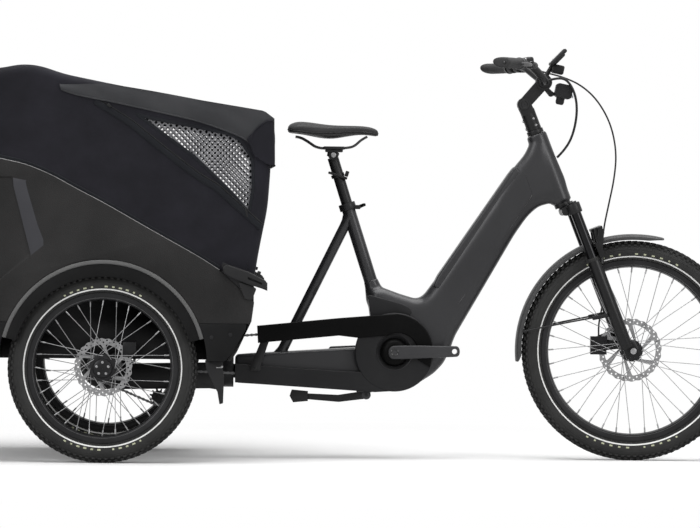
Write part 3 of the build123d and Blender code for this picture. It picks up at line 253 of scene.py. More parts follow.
def noise_node(nodes, links, coords, scale, detail=3.0, rough=0.55):
    n = nodes.new("ShaderNodeTexNoise")
    n.inputs["Scale"].default_value = scale
    n.inputs["Detail"].default_value = detail
    n.inputs["Roughness"].default_value = rough
    links.new(coords.outputs["Object"], n.inputs["Vector"])
    return n


def ramp(nodes, links, source, stops):
    r = nodes.new("ShaderNodeValToRGB")
    while len(r.color_ramp.elements) < len(stops):
        r.color_ramp.elements.new(0.5)
    for element, (place, colour) in zip(r.color_ramp.elements, stops):
        element.position = place
        element.color = (*colour, 1)
    links.new(source, r.inputs["Fac"])
    return r


def span(nodes, links, source, low, high):
    m = nodes.new("ShaderNodeMapRange")
    m.inputs["To Min"].default_value = low
    m.inputs["To Max"].default_value = high
    links.new(source, m.inputs["Value"])
    return m


def bump(nodes, links, shader, height, strength, distance):
    b = nodes.new("ShaderNodeBump")
    b.inputs["Strength"].default_value = strength
    b.inputs["Distance"].default_value = distance
    links.new(height, b.inputs["Height"])
    links.new(b.outputs["Normal"], shader.inputs["Normal"])
    return b


def coloured(name, dark, light, rough=(0.4, 0.5), metallic=0.0, coarse=6.0, fine=900.0,
             bump_strength=0.15, bump_size=0.0003, specular=0.22, sheen=0.0, coat=0.0):
    """A finish with slow colour drift, uneven gloss and a fine surface grain."""
    m, nodes, links, shader, coords = new_material(name)
    drift = noise_node(nodes, links, coords, coarse, 4.0)
    tint = ramp(nodes, links, drift.outputs["Fac"], [(0.3, dark), (0.7, light)])
    links.new(tint.outputs["Color"], shader.inputs["Base Color"])
    patches = noise_node(nodes, links, coords, coarse * 5, 3.0)
    gloss = span(nodes, links, patches.outputs["Fac"], *rough)
    links.new(gloss.outputs["Result"], shader.inputs["Roughness"])
    grain = noise_node(nodes, links, coords, fine, 2.0)
    bump(nodes, links, shader, grain.outputs["Fac"], bump_strength, bump_size)
    shader.inputs["Metallic"].default_value = metallic
    shader.inputs["Specular IOR Level"].default_value = specular
    if sheen:
        shader.inputs["Sheen Weight"].default_value = sheen
        shader.inputs["Sheen Roughness"].default_value = 0.5
    if coat:
        shader.inputs["Coat Weight"].default_value = coat
        shader.inputs["Coat Roughness"].default_value = 0.25
    return m


def cloth_finish(name, dark, light, thread=1500.0, specular=0.12):
    """Plain-woven coated cloth: crossing threads, soft fuzz and faint handling marks."""
    m, nodes, links, shader, coords = new_material(name)
    drift = noise_node(nodes, links, coords, 9.0, 5.0)
    tint = ramp(nodes, links, drift.outputs["Fac"], [(0.3, dark), (0.72, light)])
    links.new(tint.outputs["Color"], shader.inputs["Base Color"])
    waves = []
    for axis in ("X", "Z"):
        w = nodes.new("ShaderNodeTexWave")
        w.bands_direction = axis
        w.inputs["Scale"].default_value = thread / 6.283
        w.inputs["Distortion"].default_value = 0.6
        links.new(coords.outputs["Object"], w.inputs["Vector"])
        waves.append(w)
    weave = nodes.new("ShaderNodeMath")
    weave.operation = "MAXIMUM"
    links.new(waves[0].outputs["Fac"], weave.inputs[0])
    links.new(waves[1].outputs["Fac"], weave.inputs[1])
    folds = noise_node(nodes, links, coords, 22.0, 4.0)
    first = nodes.new("ShaderNodeBump")
    first.inputs["Strength"].default_value = 0.35
    first.inputs["Distance"].default_value = 0.004
    links.new(folds.outputs["Fac"], first.inputs["Height"])
    second = bump(nodes, links, shader, weave.outputs["Value"], 0.35, 0.0004)
    links.new(first.outputs["Normal"], second.inputs["Normal"])
    gloss = span(nodes, links, drift.outputs["Fac"], 0.72, 0.9)
    links.new(gloss.outputs["Result"], shader.inputs["Roughness"])
    shader.inputs["Sheen Weight"].default_value = 0.05
    shader.inputs["Sheen Roughness"].default_value = 0.45
    shader.inputs["Specular IOR Level"].default_value = specular
    return m


def mesh_cloth(name):
    """Open net: grey threads with clear holes between them."""
    m, nodes, links, shader, coords = new_material(name)
    pitch = 0.0118
    rows = []
    for turn in (0.78, -0.78):
        mapping = nodes.new("ShaderNodeMapping")
        mapping.inputs["Rotation"].default_value = (0, turn, 0)
        links.new(coords.outputs["Object"], mapping.inputs["Vector"])
        w = nodes.new("ShaderNodeTexWave")
        w.bands_direction = "X"
        w.inputs["Scale"].default_value = 1 / pitch / 3.1416
        links.new(mapping.outputs["Vector"], w.inputs["Vector"])
        rows.append(w)
    both = nodes.new("ShaderNodeMath")
    both.operation = "MAXIMUM"
    links.new(rows[0].outputs["Fac"], both.inputs[0])
    links.new(rows[1].outputs["Fac"], both.inputs[1])
    cover = nodes.new("ShaderNodeMath")
    cover.operation = "GREATER_THAN"
    cover.inputs[1].default_value = 0.66
    links.new(both.outputs["Value"], cover.inputs[0])
    links.new(cover.outputs["Value"], shader.inputs["Alpha"])
    patch = noise_node(nodes, links, coords, 14.0, 3.0)
    tint = ramp(nodes, links, patch.outputs["Fac"], [(0.3, (0.06, 0.06, 0.066)), (0.7, (0.13, 0.13, 0.137))])
    links.new(tint.outputs["Color"], shader.inputs["Base Color"])
    shader.inputs["Roughness"].default_value = 0.7
    return m


def foam_finish(name):
    """Moulded foam board: dark, finely pebbled, with lighter specks on the raised grain."""
    m, nodes, links, shader, coords = new_material(name)
    cells = nodes.new("ShaderNodeTexVoronoi")
    cells.inputs["Scale"].default_value = 420.0
    links.new(coords.outputs["Object"], cells.inputs["Vector"])
    drift = noise_node(nodes, links, coords, 5.0, 5.0)
    grain = noise_node(nodes, links, coords, 260.0, 4.0, 0.7)
    mix = nodes.new("ShaderNodeMath")
    mix.operation = "MULTIPLY_ADD"
    mix.inputs[1].default_value = 0.45
    links.new(grain.outputs["Fac"], mix.inputs[0])
    links.new(drift.outputs["Fac"], mix.inputs[2])
    tint = ramp(nodes, links, mix.outputs["Value"],
                [(0.45, (0.006, 0.0058, 0.0058)), (0.95, (0.0175, 0.017, 0.017))])
    links.new(tint.outputs["Color"], shader.inputs["Base Color"])
    gloss = span(nodes, links, grain.outputs["Fac"], 0.55, 0.8)
    links.new(gloss.outputs["Result"], shader.inputs["Roughness"])
    bump(nodes, links, shader, cells.outputs["Distance"], 0.5, 0.0009)
    shader.inputs["Specular IOR Level"].default_value = 0.16
    return m


def steel_finish(name, level, rough=(0.22, 0.38)):
    m, nodes, links, shader, coords = new_material(name)
    streak = noise_node(nodes, links, coords, 240.0, 3.0)
    low = tuple(level * 0.75 for _ in range(3))
    tint = ramp(nodes, links, streak.outputs["Fac"], [(0.3, low), (0.7, (level, level, level * 1.02))])
    links.new(tint.outputs["Color"], shader.inputs["Base Color"])
    gloss = span(nodes, links, streak.outputs["Fac"], *rough)
    links.new(gloss.outputs["Result"], shader.inputs["Roughness"])
    bump(nodes, links, shader, streak.outputs["Fac"], 0.12, 0.0002)
    shader.inputs["Metallic"].default_value = 1.0
    return m


M = {
    "frame": coloured("satin frame paint", (0.017, 0.017, 0.0185), (0.024, 0.024, 0.0255), (0.3, 0.42),
                      0.35, 3.0, 1400.0, 0.08, 0.0002, 0.3, coat=0.12),
    "black": coloured("satin black paint", (0.007, 0.007, 0.0074), (0.011, 0.011, 0.0115), (0.32, 0.45),
                      0.1, 5.0, 1200.0, 0.1, 0.0002),
    "housing": coloured("cast black paint", (0.008, 0.008, 0.0083), (0.014, 0.014, 0.0145), (0.42, 0.6),
                        0.2, 12.0, 500.0, 0.25, 0.0004),
    "rubber": coloured("tyre rubber", (0.011, 0.011, 0.011), (0.019, 0.019, 0.0185), (0.65, 0.85),
                       0.0, 14.0, 700.0, 0.3, 0.0005, 0.25),
    "plastic": coloured("grained black plastic", (0.008, 0.008, 0.0085), (0.013, 0.013, 0.0135),
                        (0.45, 0.6), 0.0, 7.0, 600.0, 0.25, 0.0004, 0.18),
    "guard": coloured("chain guard plastic", (0.0014, 0.0014, 0.0014), (0.0028, 0.0028, 0.0029),
                      (0.35, 0.5), 0.0, 6.0, 800.0, 0.12, 0.0003, 0.05),
    "fender": coloured("fender plastic", (0.036, 0.036, 0.037), (0.05, 0.05, 0.051), (0.5, 0.66),
                       0.0, 6.0, 500.0, 0.25, 0.0005, 0.4),
    "cover": coloured("drive cover plastic", (0.008, 0.008, 0.0086), (0.013, 0.013, 0.0138), (0.42, 0.55),
                      0.1, 5.0, 900.0, 0.15, 0.0003, 0.16),
    "hub": coloured("satin anodised black", (0.012, 0.012, 0.0125), (0.02, 0.02, 0.021), (0.28, 0.4),
                    0.6, 30.0, 900.0, 0.08, 0.0002),
    "rim": coloured("rim black", (0.01, 0.01, 0.0105), (0.017, 0.017, 0.018), (0.3, 0.42),
                    0.4, 20.0, 900.0, 0.08, 0.0002),
    "stripe": coloured("reflective stripe", (0.55, 0.55, 0.54), (0.68, 0.68, 0.67), (0.35, 0.5),
                       0.0, 30.0, 1200.0, 0.1, 0.0002),
    "spoke": steel_finish("spoke steel", 0.3, (0.25, 0.4)),
    "disc": steel_finish("brake disc steel", 0.3, (0.25, 0.42)),
    "chain": steel_finish("oiled chain steel", 0.12, (0.3, 0.5)),
    "foam": foam_finish("moulded foam board"),
    "canopy": cloth_finish("coated canopy cloth", (0.0055, 0.0054, 0.0075), (0.0115, 0.0112, 0.015)),
    "binding": cloth_finish("binding tape", (0.006, 0.0065, 0.0085), (0.010, 0.011, 0.013), 2600.0),
    "net": mesh_cloth("window net"),
    "bench": cloth_finish("bench cloth", (0.03, 0.03, 0.032), (0.045, 0.045, 0.05)),
    "saddle": coloured("saddle skin", (0.006, 0.006, 0.0064), (0.010, 0.010, 0.0104), (0.45, 0.65),
                       0.0, 20.0, 1500.0, 0.3, 0.0004, 0.25),
    "saddle_base": coloured("saddle shell plastic", (0.02, 0.02, 0.02), (0.03, 0.03, 0.03), (0.4, 0.5),
                            0.0, 10.0, 900.0, 0.15, 0.0003),
    "rail": coloured("saddle rail black", (0.010, 0.010, 0.0105), (0.016, 0.016, 0.0165), (0.25, 0.35),
                     0.4, 20.0, 900.0, 0.05, 0.0001, 0.4),
    "cord": coloured("hose jacket", (0.006, 0.006, 0.0063), (0.010, 0.010, 0.0105), (0.35, 0.5),
                     0.0, 60.0, 1500.0, 0.08, 0.0001),
    "grip": coloured("grip rubber", (0.010, 0.010, 0.0105), (0.016, 0.016, 0.0165), (0.6, 0.8),
                     0.0, 25.0, 500.0, 0.5, 0.0008, 0.35),
    "red": coloured("red button", (0.3, 0.008, 0.012), (0.38, 0.012, 0.016), (0.25, 0.35),
                    0.0, 60.0, 900.0, 0.05, 0.0001),
    "glass": coloured("lamp lens", (0.5, 0.52, 0.54), (0.62, 0.64, 0.66), (0.06, 0.12),
                      0.2, 80.0, 300.0, 0.2, 0.0006),
    "screen": coloured("display screen", (0.005, 0.005, 0.006), (0.008, 0.008, 0.0095), (0.05, 0.1),
                       0.0, 30.0, 900.0, 0.03, 0.0001),
    "alloy": steel_finish("hoop alloy", 0.45, (0.3, 0.45)),
    "stanchion": coloured("polished black tube", (0.012, 0.012, 0.0125), (0.016, 0.016, 0.017),
                          (0.08, 0.14), 0.8, 20.0, 900.0, 0.03, 0.0001),
    "mark": coloured("sidewall print", (0.28, 0.29, 0.2), (0.38, 0.39, 0.28), (0.5, 0.6), 0.0, 40.0, 1200.0,
                     0.1,
                     0.0002),
    # light grey ring drawn on each rim side
    "rim_line": coloured("rim grey side ring", (0.09, 0.09, 0.09), (0.14, 0.14, 0.14), (0.3, 0.4), 0.3, 40.0),
    "gloss": coloured("gloss black", (0.004, 0.004, 0.0044), (0.007, 0.007, 0.0074), (0.12, 0.2), 0.1, 30.0,
                      900.0,
                      0.03, 0.0001, 0.4),
    "crank": coloured("anodised crank", (0.022, 0.022, 0.0235), (0.03, 0.03, 0.0315), (0.36, 0.48), 0.3, 12.0,
                      900.0, 0.1, 0.0002, 0.3),
    "lid": coloured("battery lid paint", (0.02, 0.02, 0.0215), (0.026, 0.026, 0.0275), (0.34, 0.46), 0.3, 4.0,
                    1200.0, 0.08, 0.0002, 0.3),
    # smooth trim on the recess's slanted wall: partly its own smoother plastic, partly coloured lighter as
    # painted light for the light that tilted wall catches
    "blade": coloured("smooth trim lightened as painted light", (0.022, 0.0222, 0.0255), (0.029, 0.0292, 0.0335), (0.5, 0.6),
                      0.0, 5.0),
    # light grey tube along the rail: the light colour is a painted edge highlight
    "piping": coloured("rail piping", (0.12, 0.12, 0.12), (0.2, 0.2, 0.2), (0.3, 0.4), 0.2, 12.0),
    "zip": coloured("zip tape", (0.004, 0.004, 0.0045), (0.008, 0.008, 0.0085), (0.35, 0.5), 0.1, 60.0, 700.0,
                    0.5, 0.0012),
    "tub": coloured("moulded tub plastic", (0.0048, 0.0048, 0.005), (0.009, 0.009, 0.0093), (0.5, 0.66),
                    0.0, 6.0,
                    420.0, 0.3, 0.0005, 0.1),
    "visor": cloth_finish("rain flap cloth", (0.018, 0.0185, 0.0205), (0.03, 0.0305, 0.033), 1500.0, 0.25),
    "lever": coloured("lever black", (0.02, 0.02, 0.021), (0.03, 0.03, 0.031), (0.25, 0.36), 0.5, 30.0),
    "leg": coloured("fork leg black", (0.0045, 0.0045, 0.0048), (0.008, 0.008, 0.0083), (0.26, 0.36), 0.1,
                    9.0),
    "lip_dark": coloured("arch lip inner band", (0.003, 0.003, 0.0031), (0.006, 0.006, 0.0062), (0.5, 0.6),
                         0.0,
                         8.0, 600.0, 0.2, 0.0004, 0.1),
    # lip bevel colour is much lighter than the lip's band: a painted highlight where the bevel faces the
    # overhead light
    "lip_painted_highlight": coloured("arch lip bevel with painted highlight", (0.06, 0.06, 0.06), (0.085, 0.085, 0.084), (0.5, 0.6), 0.0, 9.0,
                         700.0, 0.15, 0.0003, 0.3),
    "fender_dark": coloured("guard plastic", (0.028, 0.028, 0.0285), (0.038, 0.038, 0.0385), (0.42, 0.55),
                            0.0,
                            8.0, 600.0, 0.2, 0.0004),
    "tail": coloured("tail lamp red", (0.22, 0.004, 0.006), (0.3, 0.008, 0.01), (0.12, 0.2),
                     0.0, 40.0, 300.0, 0.15, 0.0005),
}

NODE_FINISH = {
    "rear_subframe": "black", "axle_housing": "housing", "rear_calipers": "hub",
    "canopy_hoops": "alloy", "battery": "plastic", "motor": "housing",
}
for node, obj in frame["nodes"].items():
    finish = NODE_FINISH.get(node, "black")
    if node.startswith("spokes"):
        finish = "spoke"
    elif node.startswith("rim"):
        finish = "rim"
    elif node.startswith("hub"):
        finish = "hub"
    obj.data.materials.clear()
    obj.data.materials.append(M[finish])

# ------------------------------------------------------------------ shape helpers
def arc3(a, b, c, n):
    """n + 1 points on the arc from a through b to c."""
    (ax, ay), (bx, by), (cx, cy) = a, b, c
    d = 2 * (ax * (by - cy) + bx * (cy - ay) + cx * (ay - by))
    ux = ((ax**2 + ay**2) * (by - cy) + (bx**2 + by**2) * (cy - ay) + (cx**2 + cy**2) * (ay - by)) / d
    uy = ((ax**2 + ay**2) * (cx - bx) + (bx**2 + by**2) * (ax - cx) + (cx**2 + cy**2) * (bx - ax)) / d
    r = math.hypot(ax - ux, ay - uy)
    t0, t1, t2 = (math.atan2(y - uy, x - ux) for x, y in (a, b, c))
    sweep = (t2 - t0) % (2 * math.pi)
    if (t1 - t0) % (2 * math.pi) > sweep:
        sweep -= 2 * math.pi
    return [(ux + r * math.cos(t0 + sweep * k / n), uy + r * math.sin(t0 + sweep * k / n))
            for k in range(n + 1)]


def rounded(points, reach=12.0, steps=4, closed=True):
    """An outline with each corner turned into a short curve."""
    count = len(points)
    made = []
    for i, (x, z) in enumerate(points):
        if not closed and i in (0, count - 1):
            made.append((x, z))
            continue
        before, after = points[i - 1], points[(i + 1) % count]
        ends = []
        for other in (before, after):
            dist = math.hypot(other[0] - x, other[1] - z)
            share = min(reach, dist * 0.46) / dist
            ends.append((x + (other[0] - x) * share, z + (other[1] - z) * share))
        (ax, az), (bx, bz) = ends
        for k in range(steps + 1):
            t = k / steps
            made.append(((1 - t) ** 2 * ax + 2 * t * (1 - t) * x + t * t * bx,
                         (1 - t) ** 2 * az + 2 * t * (1 - t) * z + t * t * bz))
    return made


def along(points, n):
    """n + 1 evenly spaced points on an open line."""
    runs = [(Vector(b) - Vector(a)).length for a, b in zip(points, points[1:])]
    total = sum(runs)
    made = []
    for k in range(n + 1):
        want = total * k / n
        for (a, b), run in zip(zip(points, points[1:]), runs):
            if want <= run + 1e-9:
                made.append(Vector(a).lerp(Vector(b), want / run if run else 0))
                break
            want -= run
        else:
            made.append(Vector(points[-1]))
    return made


def sheet_of(rows, closed=False, caps=False):
    """A grid of points as one surface; closed joins the last column to the first."""
    if closed:
        rows = [list(r) + [r[0]] for r in rows]
    cols = len(rows[0])
    deselect()
    bpy.ops.mesh.primitive_grid_add(x_subdivisions=cols - 1, y_subdivisions=len(rows) - 1, size=2)
    obj = bpy.context.object
    flat = [c for row in rows for p in row for c in p]
    obj.data.vertices.foreach_set("co", flat)
    obj.data.update()
    edit_all(obj)
    if closed:
        bpy.ops.mesh.remove_doubles(threshold=1e-6)
    if caps:
        bpy.ops.mesh.fill_holes(sides=0)
    bpy.ops.mesh.select_all(action="SELECT")
    bpy.ops.mesh.normals_make_consistent(inside=False)
    return done()


def inwards(points, gap):
    """Outline corners moved towards the inside by a gap."""
    area = sum(a[0] * b[1] - b[0] * a[1] for a, b in zip(points, points[1:] + points[:1]))
    turn = 1 if area > 0 else -1
    made = []
    for i, (x, z) in enumerate(points):
        px, pz = points[i - 1]
        nx, nz = points[(i + 1) % len(points)]
        tx, tz = nx - px, nz - pz
        size = math.hypot(tx, tz) or 1
        made.append((x - turn * tz / size * gap, z + turn * tx / size * gap))
    return made


def cushioned(points, y0, y1, radius, steps=4, narrow=None):
    """A side-view outline made solid with full rounded edges; narrow(x) scales its width."""
    mid, half = (y0 + y1) / 2, (y1 - y0) / 2
    rings = []
    for side in (-1, 1):
        for k in range(steps + 1):
            a = math.pi / 2 * (k if side < 0 else steps - k) / steps
            gap = radius * (1 - math.sin(a))
            y = side * (half - radius * (1 - math.cos(a)))
            rings.append([(x, z, y) for x, z in inwards(points, gap)])
    rows = [[at(x, z, mid + y * (narrow(x) if narrow else 1)) for x, z, y in ring] for ring in rings]
    return sheet_of(rows, closed=True, caps=True)


def box_at(centre, size, tilt=0.0, bevel=1.5, yaw=0.0):
    """A block at a point in mm (ahead, up, left), tilted about the cross axis."""
    deselect()
    bpy.ops.mesh.primitive_cube_add(size=1)
    obj = bpy.context.object
    turn = Matrix.Rotation(math.radians(yaw), 4, "Z") @ Matrix.Rotation(math.radians(-tilt), 4, "Y")
    place = Matrix.Translation(at(centre[0], centre[1], centre[2]))
    scale = Matrix.Diagonal((*(v * MM for v in size), 1))
    obj.data.transform(place @ turn @ scale)
    if bevel:
        apply_modifier(obj, "BEVEL", width=bevel * MM, segments=3)
    return obj


def rod(a, b, radius, sides=32, bevel=0.0, taper=None):
    """Round bar between two frame points; radii in mm."""
    a, b = Vector(a), Vector(b)
    deselect()
    bpy.ops.mesh.primitive_cone_add(vertices=sides, radius1=radius * MM,
                                    radius2=(taper if taper else radius) * MM, depth=(b - a).length)
    obj = bpy.context.object
    turn = (b - a).to_track_quat("Z", "Y").to_matrix().to_4x4()
    obj.data.transform(Matrix.Translation((a + b) / 2) @ turn)
    if bevel:
        apply_modifier(obj, "BEVEL", width=bevel * MM, segments=2, limit_method="ANGLE",
                       angle_limit=math.radians(50))
    return obj


def cut(obj, *cutters):
    """Takes the cutters out of obj."""
    cutter = join(*cutters) if len(cutters) > 1 else cutters[0]
    apply_modifier(obj, "BOOLEAN", operation="DIFFERENCE", object=cutter, solver="EXACT")
    bpy.data.objects.remove(cutter)
    pick(obj)
    return obj


def spun_copies(obj, count, centre, axis=(0, 1, 0)):
    """Repeats a small shape all the way around a wheel."""
    edit_all(obj)
    bpy.ops.mesh.spin(steps=count - 1, dupli=True, angle=2 * math.pi * (count - 1) / count,
                      center=centre, axis=axis)
    bpy.ops.mesh.select_all(action="SELECT")
    bpy.ops.mesh.remove_doubles(threshold=1e-7)
    bpy.ops.mesh.normals_make_consistent(inside=False)
    return done()


# ------------------------------------------------------------------ wheels
TYRE_HALF, BEAD_LIP, CROWN_DROP = 30.0, 6.5, 2.6


def tyre_side(radius, bead):
    """(radius, half width) from the crown down one side to the bead."""
    crown = arc3((radius - CROWN_DROP, 0), (radius - 5.2, 14.5), (radius - 12, 24), 8)
    wall = arc3((radius - 12, 24), (radius - 30, TYRE_HALF), (bead + BEAD_LIP, 16.6), 14)
    return crown + wall[1:]


def side_width(side, r):
    for (r0, y0), (r1, y1) in zip(side, side[1:]):
        if r1 <= r <= r0:
            return y0 + (y1 - y0) * (r0 - r) / (r0 - r1)
    return side[-1][1]


def tread_block(centre, side, y0, y1, a0, a1, skew):
    """One rubber block standing on the crown."""
    deselect()
    bpy.ops.mesh.primitive_cube_add(size=1)
    obj = bpy.context.object
    ordered = sorted(side, key=lambda p: p[1])[:9]

    def crown_r(y):
        y = abs(y)
        for (r0, w0), (r1, w1) in zip(ordered, ordered[1:]):
            if w0 <= y <= w1:
                return r0 + (r1 - r0) * (y - w0) / (w1 - w0)
        return ordered[-1][0]
    for v in obj.data.vertices:
        outer = v.co.z > 0
        draft = 0.8 if outer else 0.0
        y = (y0 + draft if v.co.y < 0 else y1 - draft)
        lean = skew * y / TYRE_HALF
        a = (a0 if v.co.x < 0 else a1) + lean
        r = crown_r(y) + (CROWN_DROP * 0.92 if outer else -0.8)
        v.co = centre + Vector((r * math.cos(a) * MM, y * MM, r * math.sin(a) * MM))
    return obj


def make_tyre(suffix, centre, radius, bead, body):
    side = tyre_side(radius, bead)
    inner = [(bead + BEAD_LIP, 12), (radius - 30, 25), (radius - 14, 19), (radius - 8, 0)]
    half = side + [(bead + 3.5, 17.2), (bead + 0.4, 15.6), (bead + 0.4, 12.4)] + inner
    profile = half + [(r, -y) for r, y in reversed(half[1:-1])]
    casing = lathe(profile, centre, 144)
    cells = round(2 * math.pi * radius / 17.0)
    step = 2 * math.pi / cells
    blocks = []
    for y0, y1, skew, lag in ((-5.5, 5.5, 0.5, 0.0), (7, 13.5, 0.9, 0.3), (-13.5, -7, -0.9, 0.3),
                              (15, 23, 0.6, 0.62), (-23, -15, -0.6, 0.62)):
        blocks.append(tread_block(centre, side, y0, y1, (lag + 0.08) * step,
                                  (lag + 0.86) * step, skew * step))
    blocks = spun_copies(join(*blocks), cells, centre)
    tyre = join(casing, blocks)
    finish_piece(tyre, "tyre_" + suffix + "_finished", body, M["rubber"], 40,
                 ("tyre_" + suffix,))
    stripes = []
    for way in (-1, 1):
        band_r = bead + 15.5
        edge = [(band_r + d, way * (side_width(side, band_r + d) + g))
                for d, g in ((-1.9, -0.1), (-1.7, 0.35), (1.7, 0.35), (1.9, -0.1))]
        stripes.append(lathe(edge, centre, 144))
    finish_piece(join(*stripes), "tyre_stripe_" + suffix, body, M["stripe"], 40)
    ribs = []
    for way in (-1, 1):
        for band_r in (bead + 10.0, radius - 25.0):
            edge = [(band_r + d, way * (side_width(side, band_r + d) + g))
                    for d, g in ((-0.7, -0.2), (0, 0.6), (0.7, -0.2))]
            ribs.append(lathe(edge, centre, 144))
    finish_piece(join(*ribs), "tyre_ribs_" + suffix, body, M["rubber"], 40)
    marks = []
    for way in (-1, 1):
        for group in (0.0, math.pi):
            for k, wide in enumerate((3, 5, 4, 5, 3, 0, 5, 4, 5, 5, 3, 4)):
                if not wide:
                    continue
                a = math.radians(118 - 5.0 * k) + group
                deselect()
                bpy.ops.mesh.primitive_cube_add(size=1)
                dash = bpy.context.object
                for v in dash.data.vertices:
                    r = bead + (25.5 if v.co.x > 0 else 21.0)
                    y = way * (side_width(side, r) + (0.35 if v.co.y > 0 else -0.4))
                    b = a + v.co.z * wide * 1.6 / bead
                    v.co = centre + Vector((r * math.cos(b) * MM, y * MM, r * math.sin(b) * MM))
                marks.append(dash)
    mark = join(*marks)
    edit_all(mark)
    bpy.ops.mesh.normals_make_consistent(inside=False)
    done()
    finish_piece(mark, "tyre_marks_" + suffix, body, M["mark"], 0)


def make_rim(suffix, centre, bead, body):
    base = bead - 15.5
    half = [(base, 7), (base + 3.2, 16.4), (base + 4.6, 17.2), (bead + 5.4, 18.5), (bead + 6, 18.1),
            (bead + 6, 16.6), (bead + 0.2, 16.3), (bead, 11.5), (bead - 4, 9), (bead - 4, 0)]
    profile = [(base - 0.4, 0)] + half[:-1]
    profile = profile + [(bead - 4, 0)] + [(r, -y) for r, y in reversed(half[:-1])]
    finish_piece(lathe(profile, centre, 144), "rim_" + suffix + "_finished", body, M["rim"],
                 35, ("rim_" + suffix,))
    # a light grey ring on each side of the rim
    grey_rings = []
    for way in (-1, 1):
        edge = [(base + 7 + d, way * (17.35 + g)) for d, g in ((-0.5, -0.4), (-0.3, 0.25), (0.3, 0.25),
                                                               (0.5, -0.4))]
        grey_rings.append(lathe(edge, centre, 144))
    finish_piece(join(*grey_rings), "rim_line_" + suffix, body, M["rim_line"], 35)


def disc_window(cx, cz, inner, outer, start, y0, y1):
    """The gap between two slanted arms of a brake disc."""
    points = []
    for k in range(5):
        a = start + math.radians(9 + 42 * k / 4)
        points.append((cx + inner * math.cos(a), cz + inner * math.sin(a)))
    for k in range(7):
        a = start + math.radians(28 + 57 - 49 * k / 6)
        points.append((cx + outer * math.cos(a), cz + outer * math.sin(a)))
    return plate(rounded(points, 4.0, 2), y0, y1)


def brake_disc(suffix, cx, cz, y, radius, carrier, body):
    rim = [(cx + (radius + 1.3 * math.sin(24 * a)) * math.cos(a),
            cz + (radius + 1.3 * math.sin(24 * a)) * math.sin(a))
           for a in (2 * math.pi * k / 192 for k in range(192))]
    body_plate = plate(rim, y - 0.9, y + 0.9)
    cutters = [disc_window(cx, cz, carrier + 8, radius - 16, math.radians(60 * k), y - 4, y + 4)
               for k in range(6)]
    for k in range(48):
        a = 2 * math.pi * k / 48
        r = radius - (4.2 if k % 2 else 10.5)
        cutters.append(rod(at(cx + r * math.cos(a), cz + r * math.sin(a), y - 4),
                           at(cx + r * math.cos(a), cz + r * math.sin(a), y + 4), 2.5, 10))
    cutters.append(rod(at(cx, cz, y - 4), at(cx, cz, y + 4), carrier - 5, 48))
    cut(body_plate, *cutters)
    finish_piece(body_plate, "brake_disc_" + suffix, body, M["disc"], 30)
    bolts = []
    for k in range(6):
        a = math.radians(60 * k + 20)
        x, z = cx + carrier * math.cos(a), cz + carrier * math.sin(a)
        bolts.append(rod(at(x, z, y - 3.0), at(x, z, y + 3.0), 3.2, 12, 0.6))
    finish_piece(join(*bolts), "disc_bolts_" + suffix, body, M["spoke"], 30)


def make_hub(suffix, centre, cx, cz, y, body, shell, disc_y, disc_r, cap_side):
    hub = lathe(shell, centre, 72, bevel=0.8)
    pieces = [hub]
    if cap_side:
        pieces.append(lathe([(0.5, cap_side * 46), (24, cap_side * 46), (25, cap_side * 47.5),
                             (25, cap_side * 51), (22, cap_side * 52.5), (9, cap_side * 53),
                             (0.5, cap_side * 53)],
                            centre, 48))
    finish_piece(join(*pieces), "hub_" + suffix + "_finished", body, M["hub"], 35,
                 ("hub_" + suffix,))
    if cap_side:
        bolts = []
        for k in range(5):
            a = math.radians(72 * k + 90)
            x, z = cx + 17 * math.cos(a), cz + 17 * math.sin(a)
            bolts.append(rod(at(x, z, y + cap_side * 51), at(x, z, y + cap_side * 56), 4, 6, 0.7))
        finish_piece(join(*bolts), "hub_bolts_" + suffix, body, M["spoke"], 30)
    brake_disc(suffix, cx, cz, y + disc_y, disc_r, 22.0, body)


def make_tread(name, centre, radius, body):
    """Shoulder blocks all the way around a tyre."""
    cx, cz, y = (centre.x - AXLE_X) / MM, centre.z / MM, centre.y / MM
    blocks = []
    for side in (-1, 1):
        for along_x, off, low, wide in ((0.0, 19.0, 5.4, 9.0), (9.0, 25.0, 12.5, 6.0), (7.0, 8.0, 2.1, 9.0)):
            blocks.append(box_at((cx + along_x + side * 3.0, cz + radius - low, y + side * off),
                                 (9.0, wide, 5.0), 0, 0))
    blocks = spun_copies(join(*blocks), int(radius / 2.9), centre)
    finish_piece(blocks, "tread_" + name, body, M["rubber"], 30)


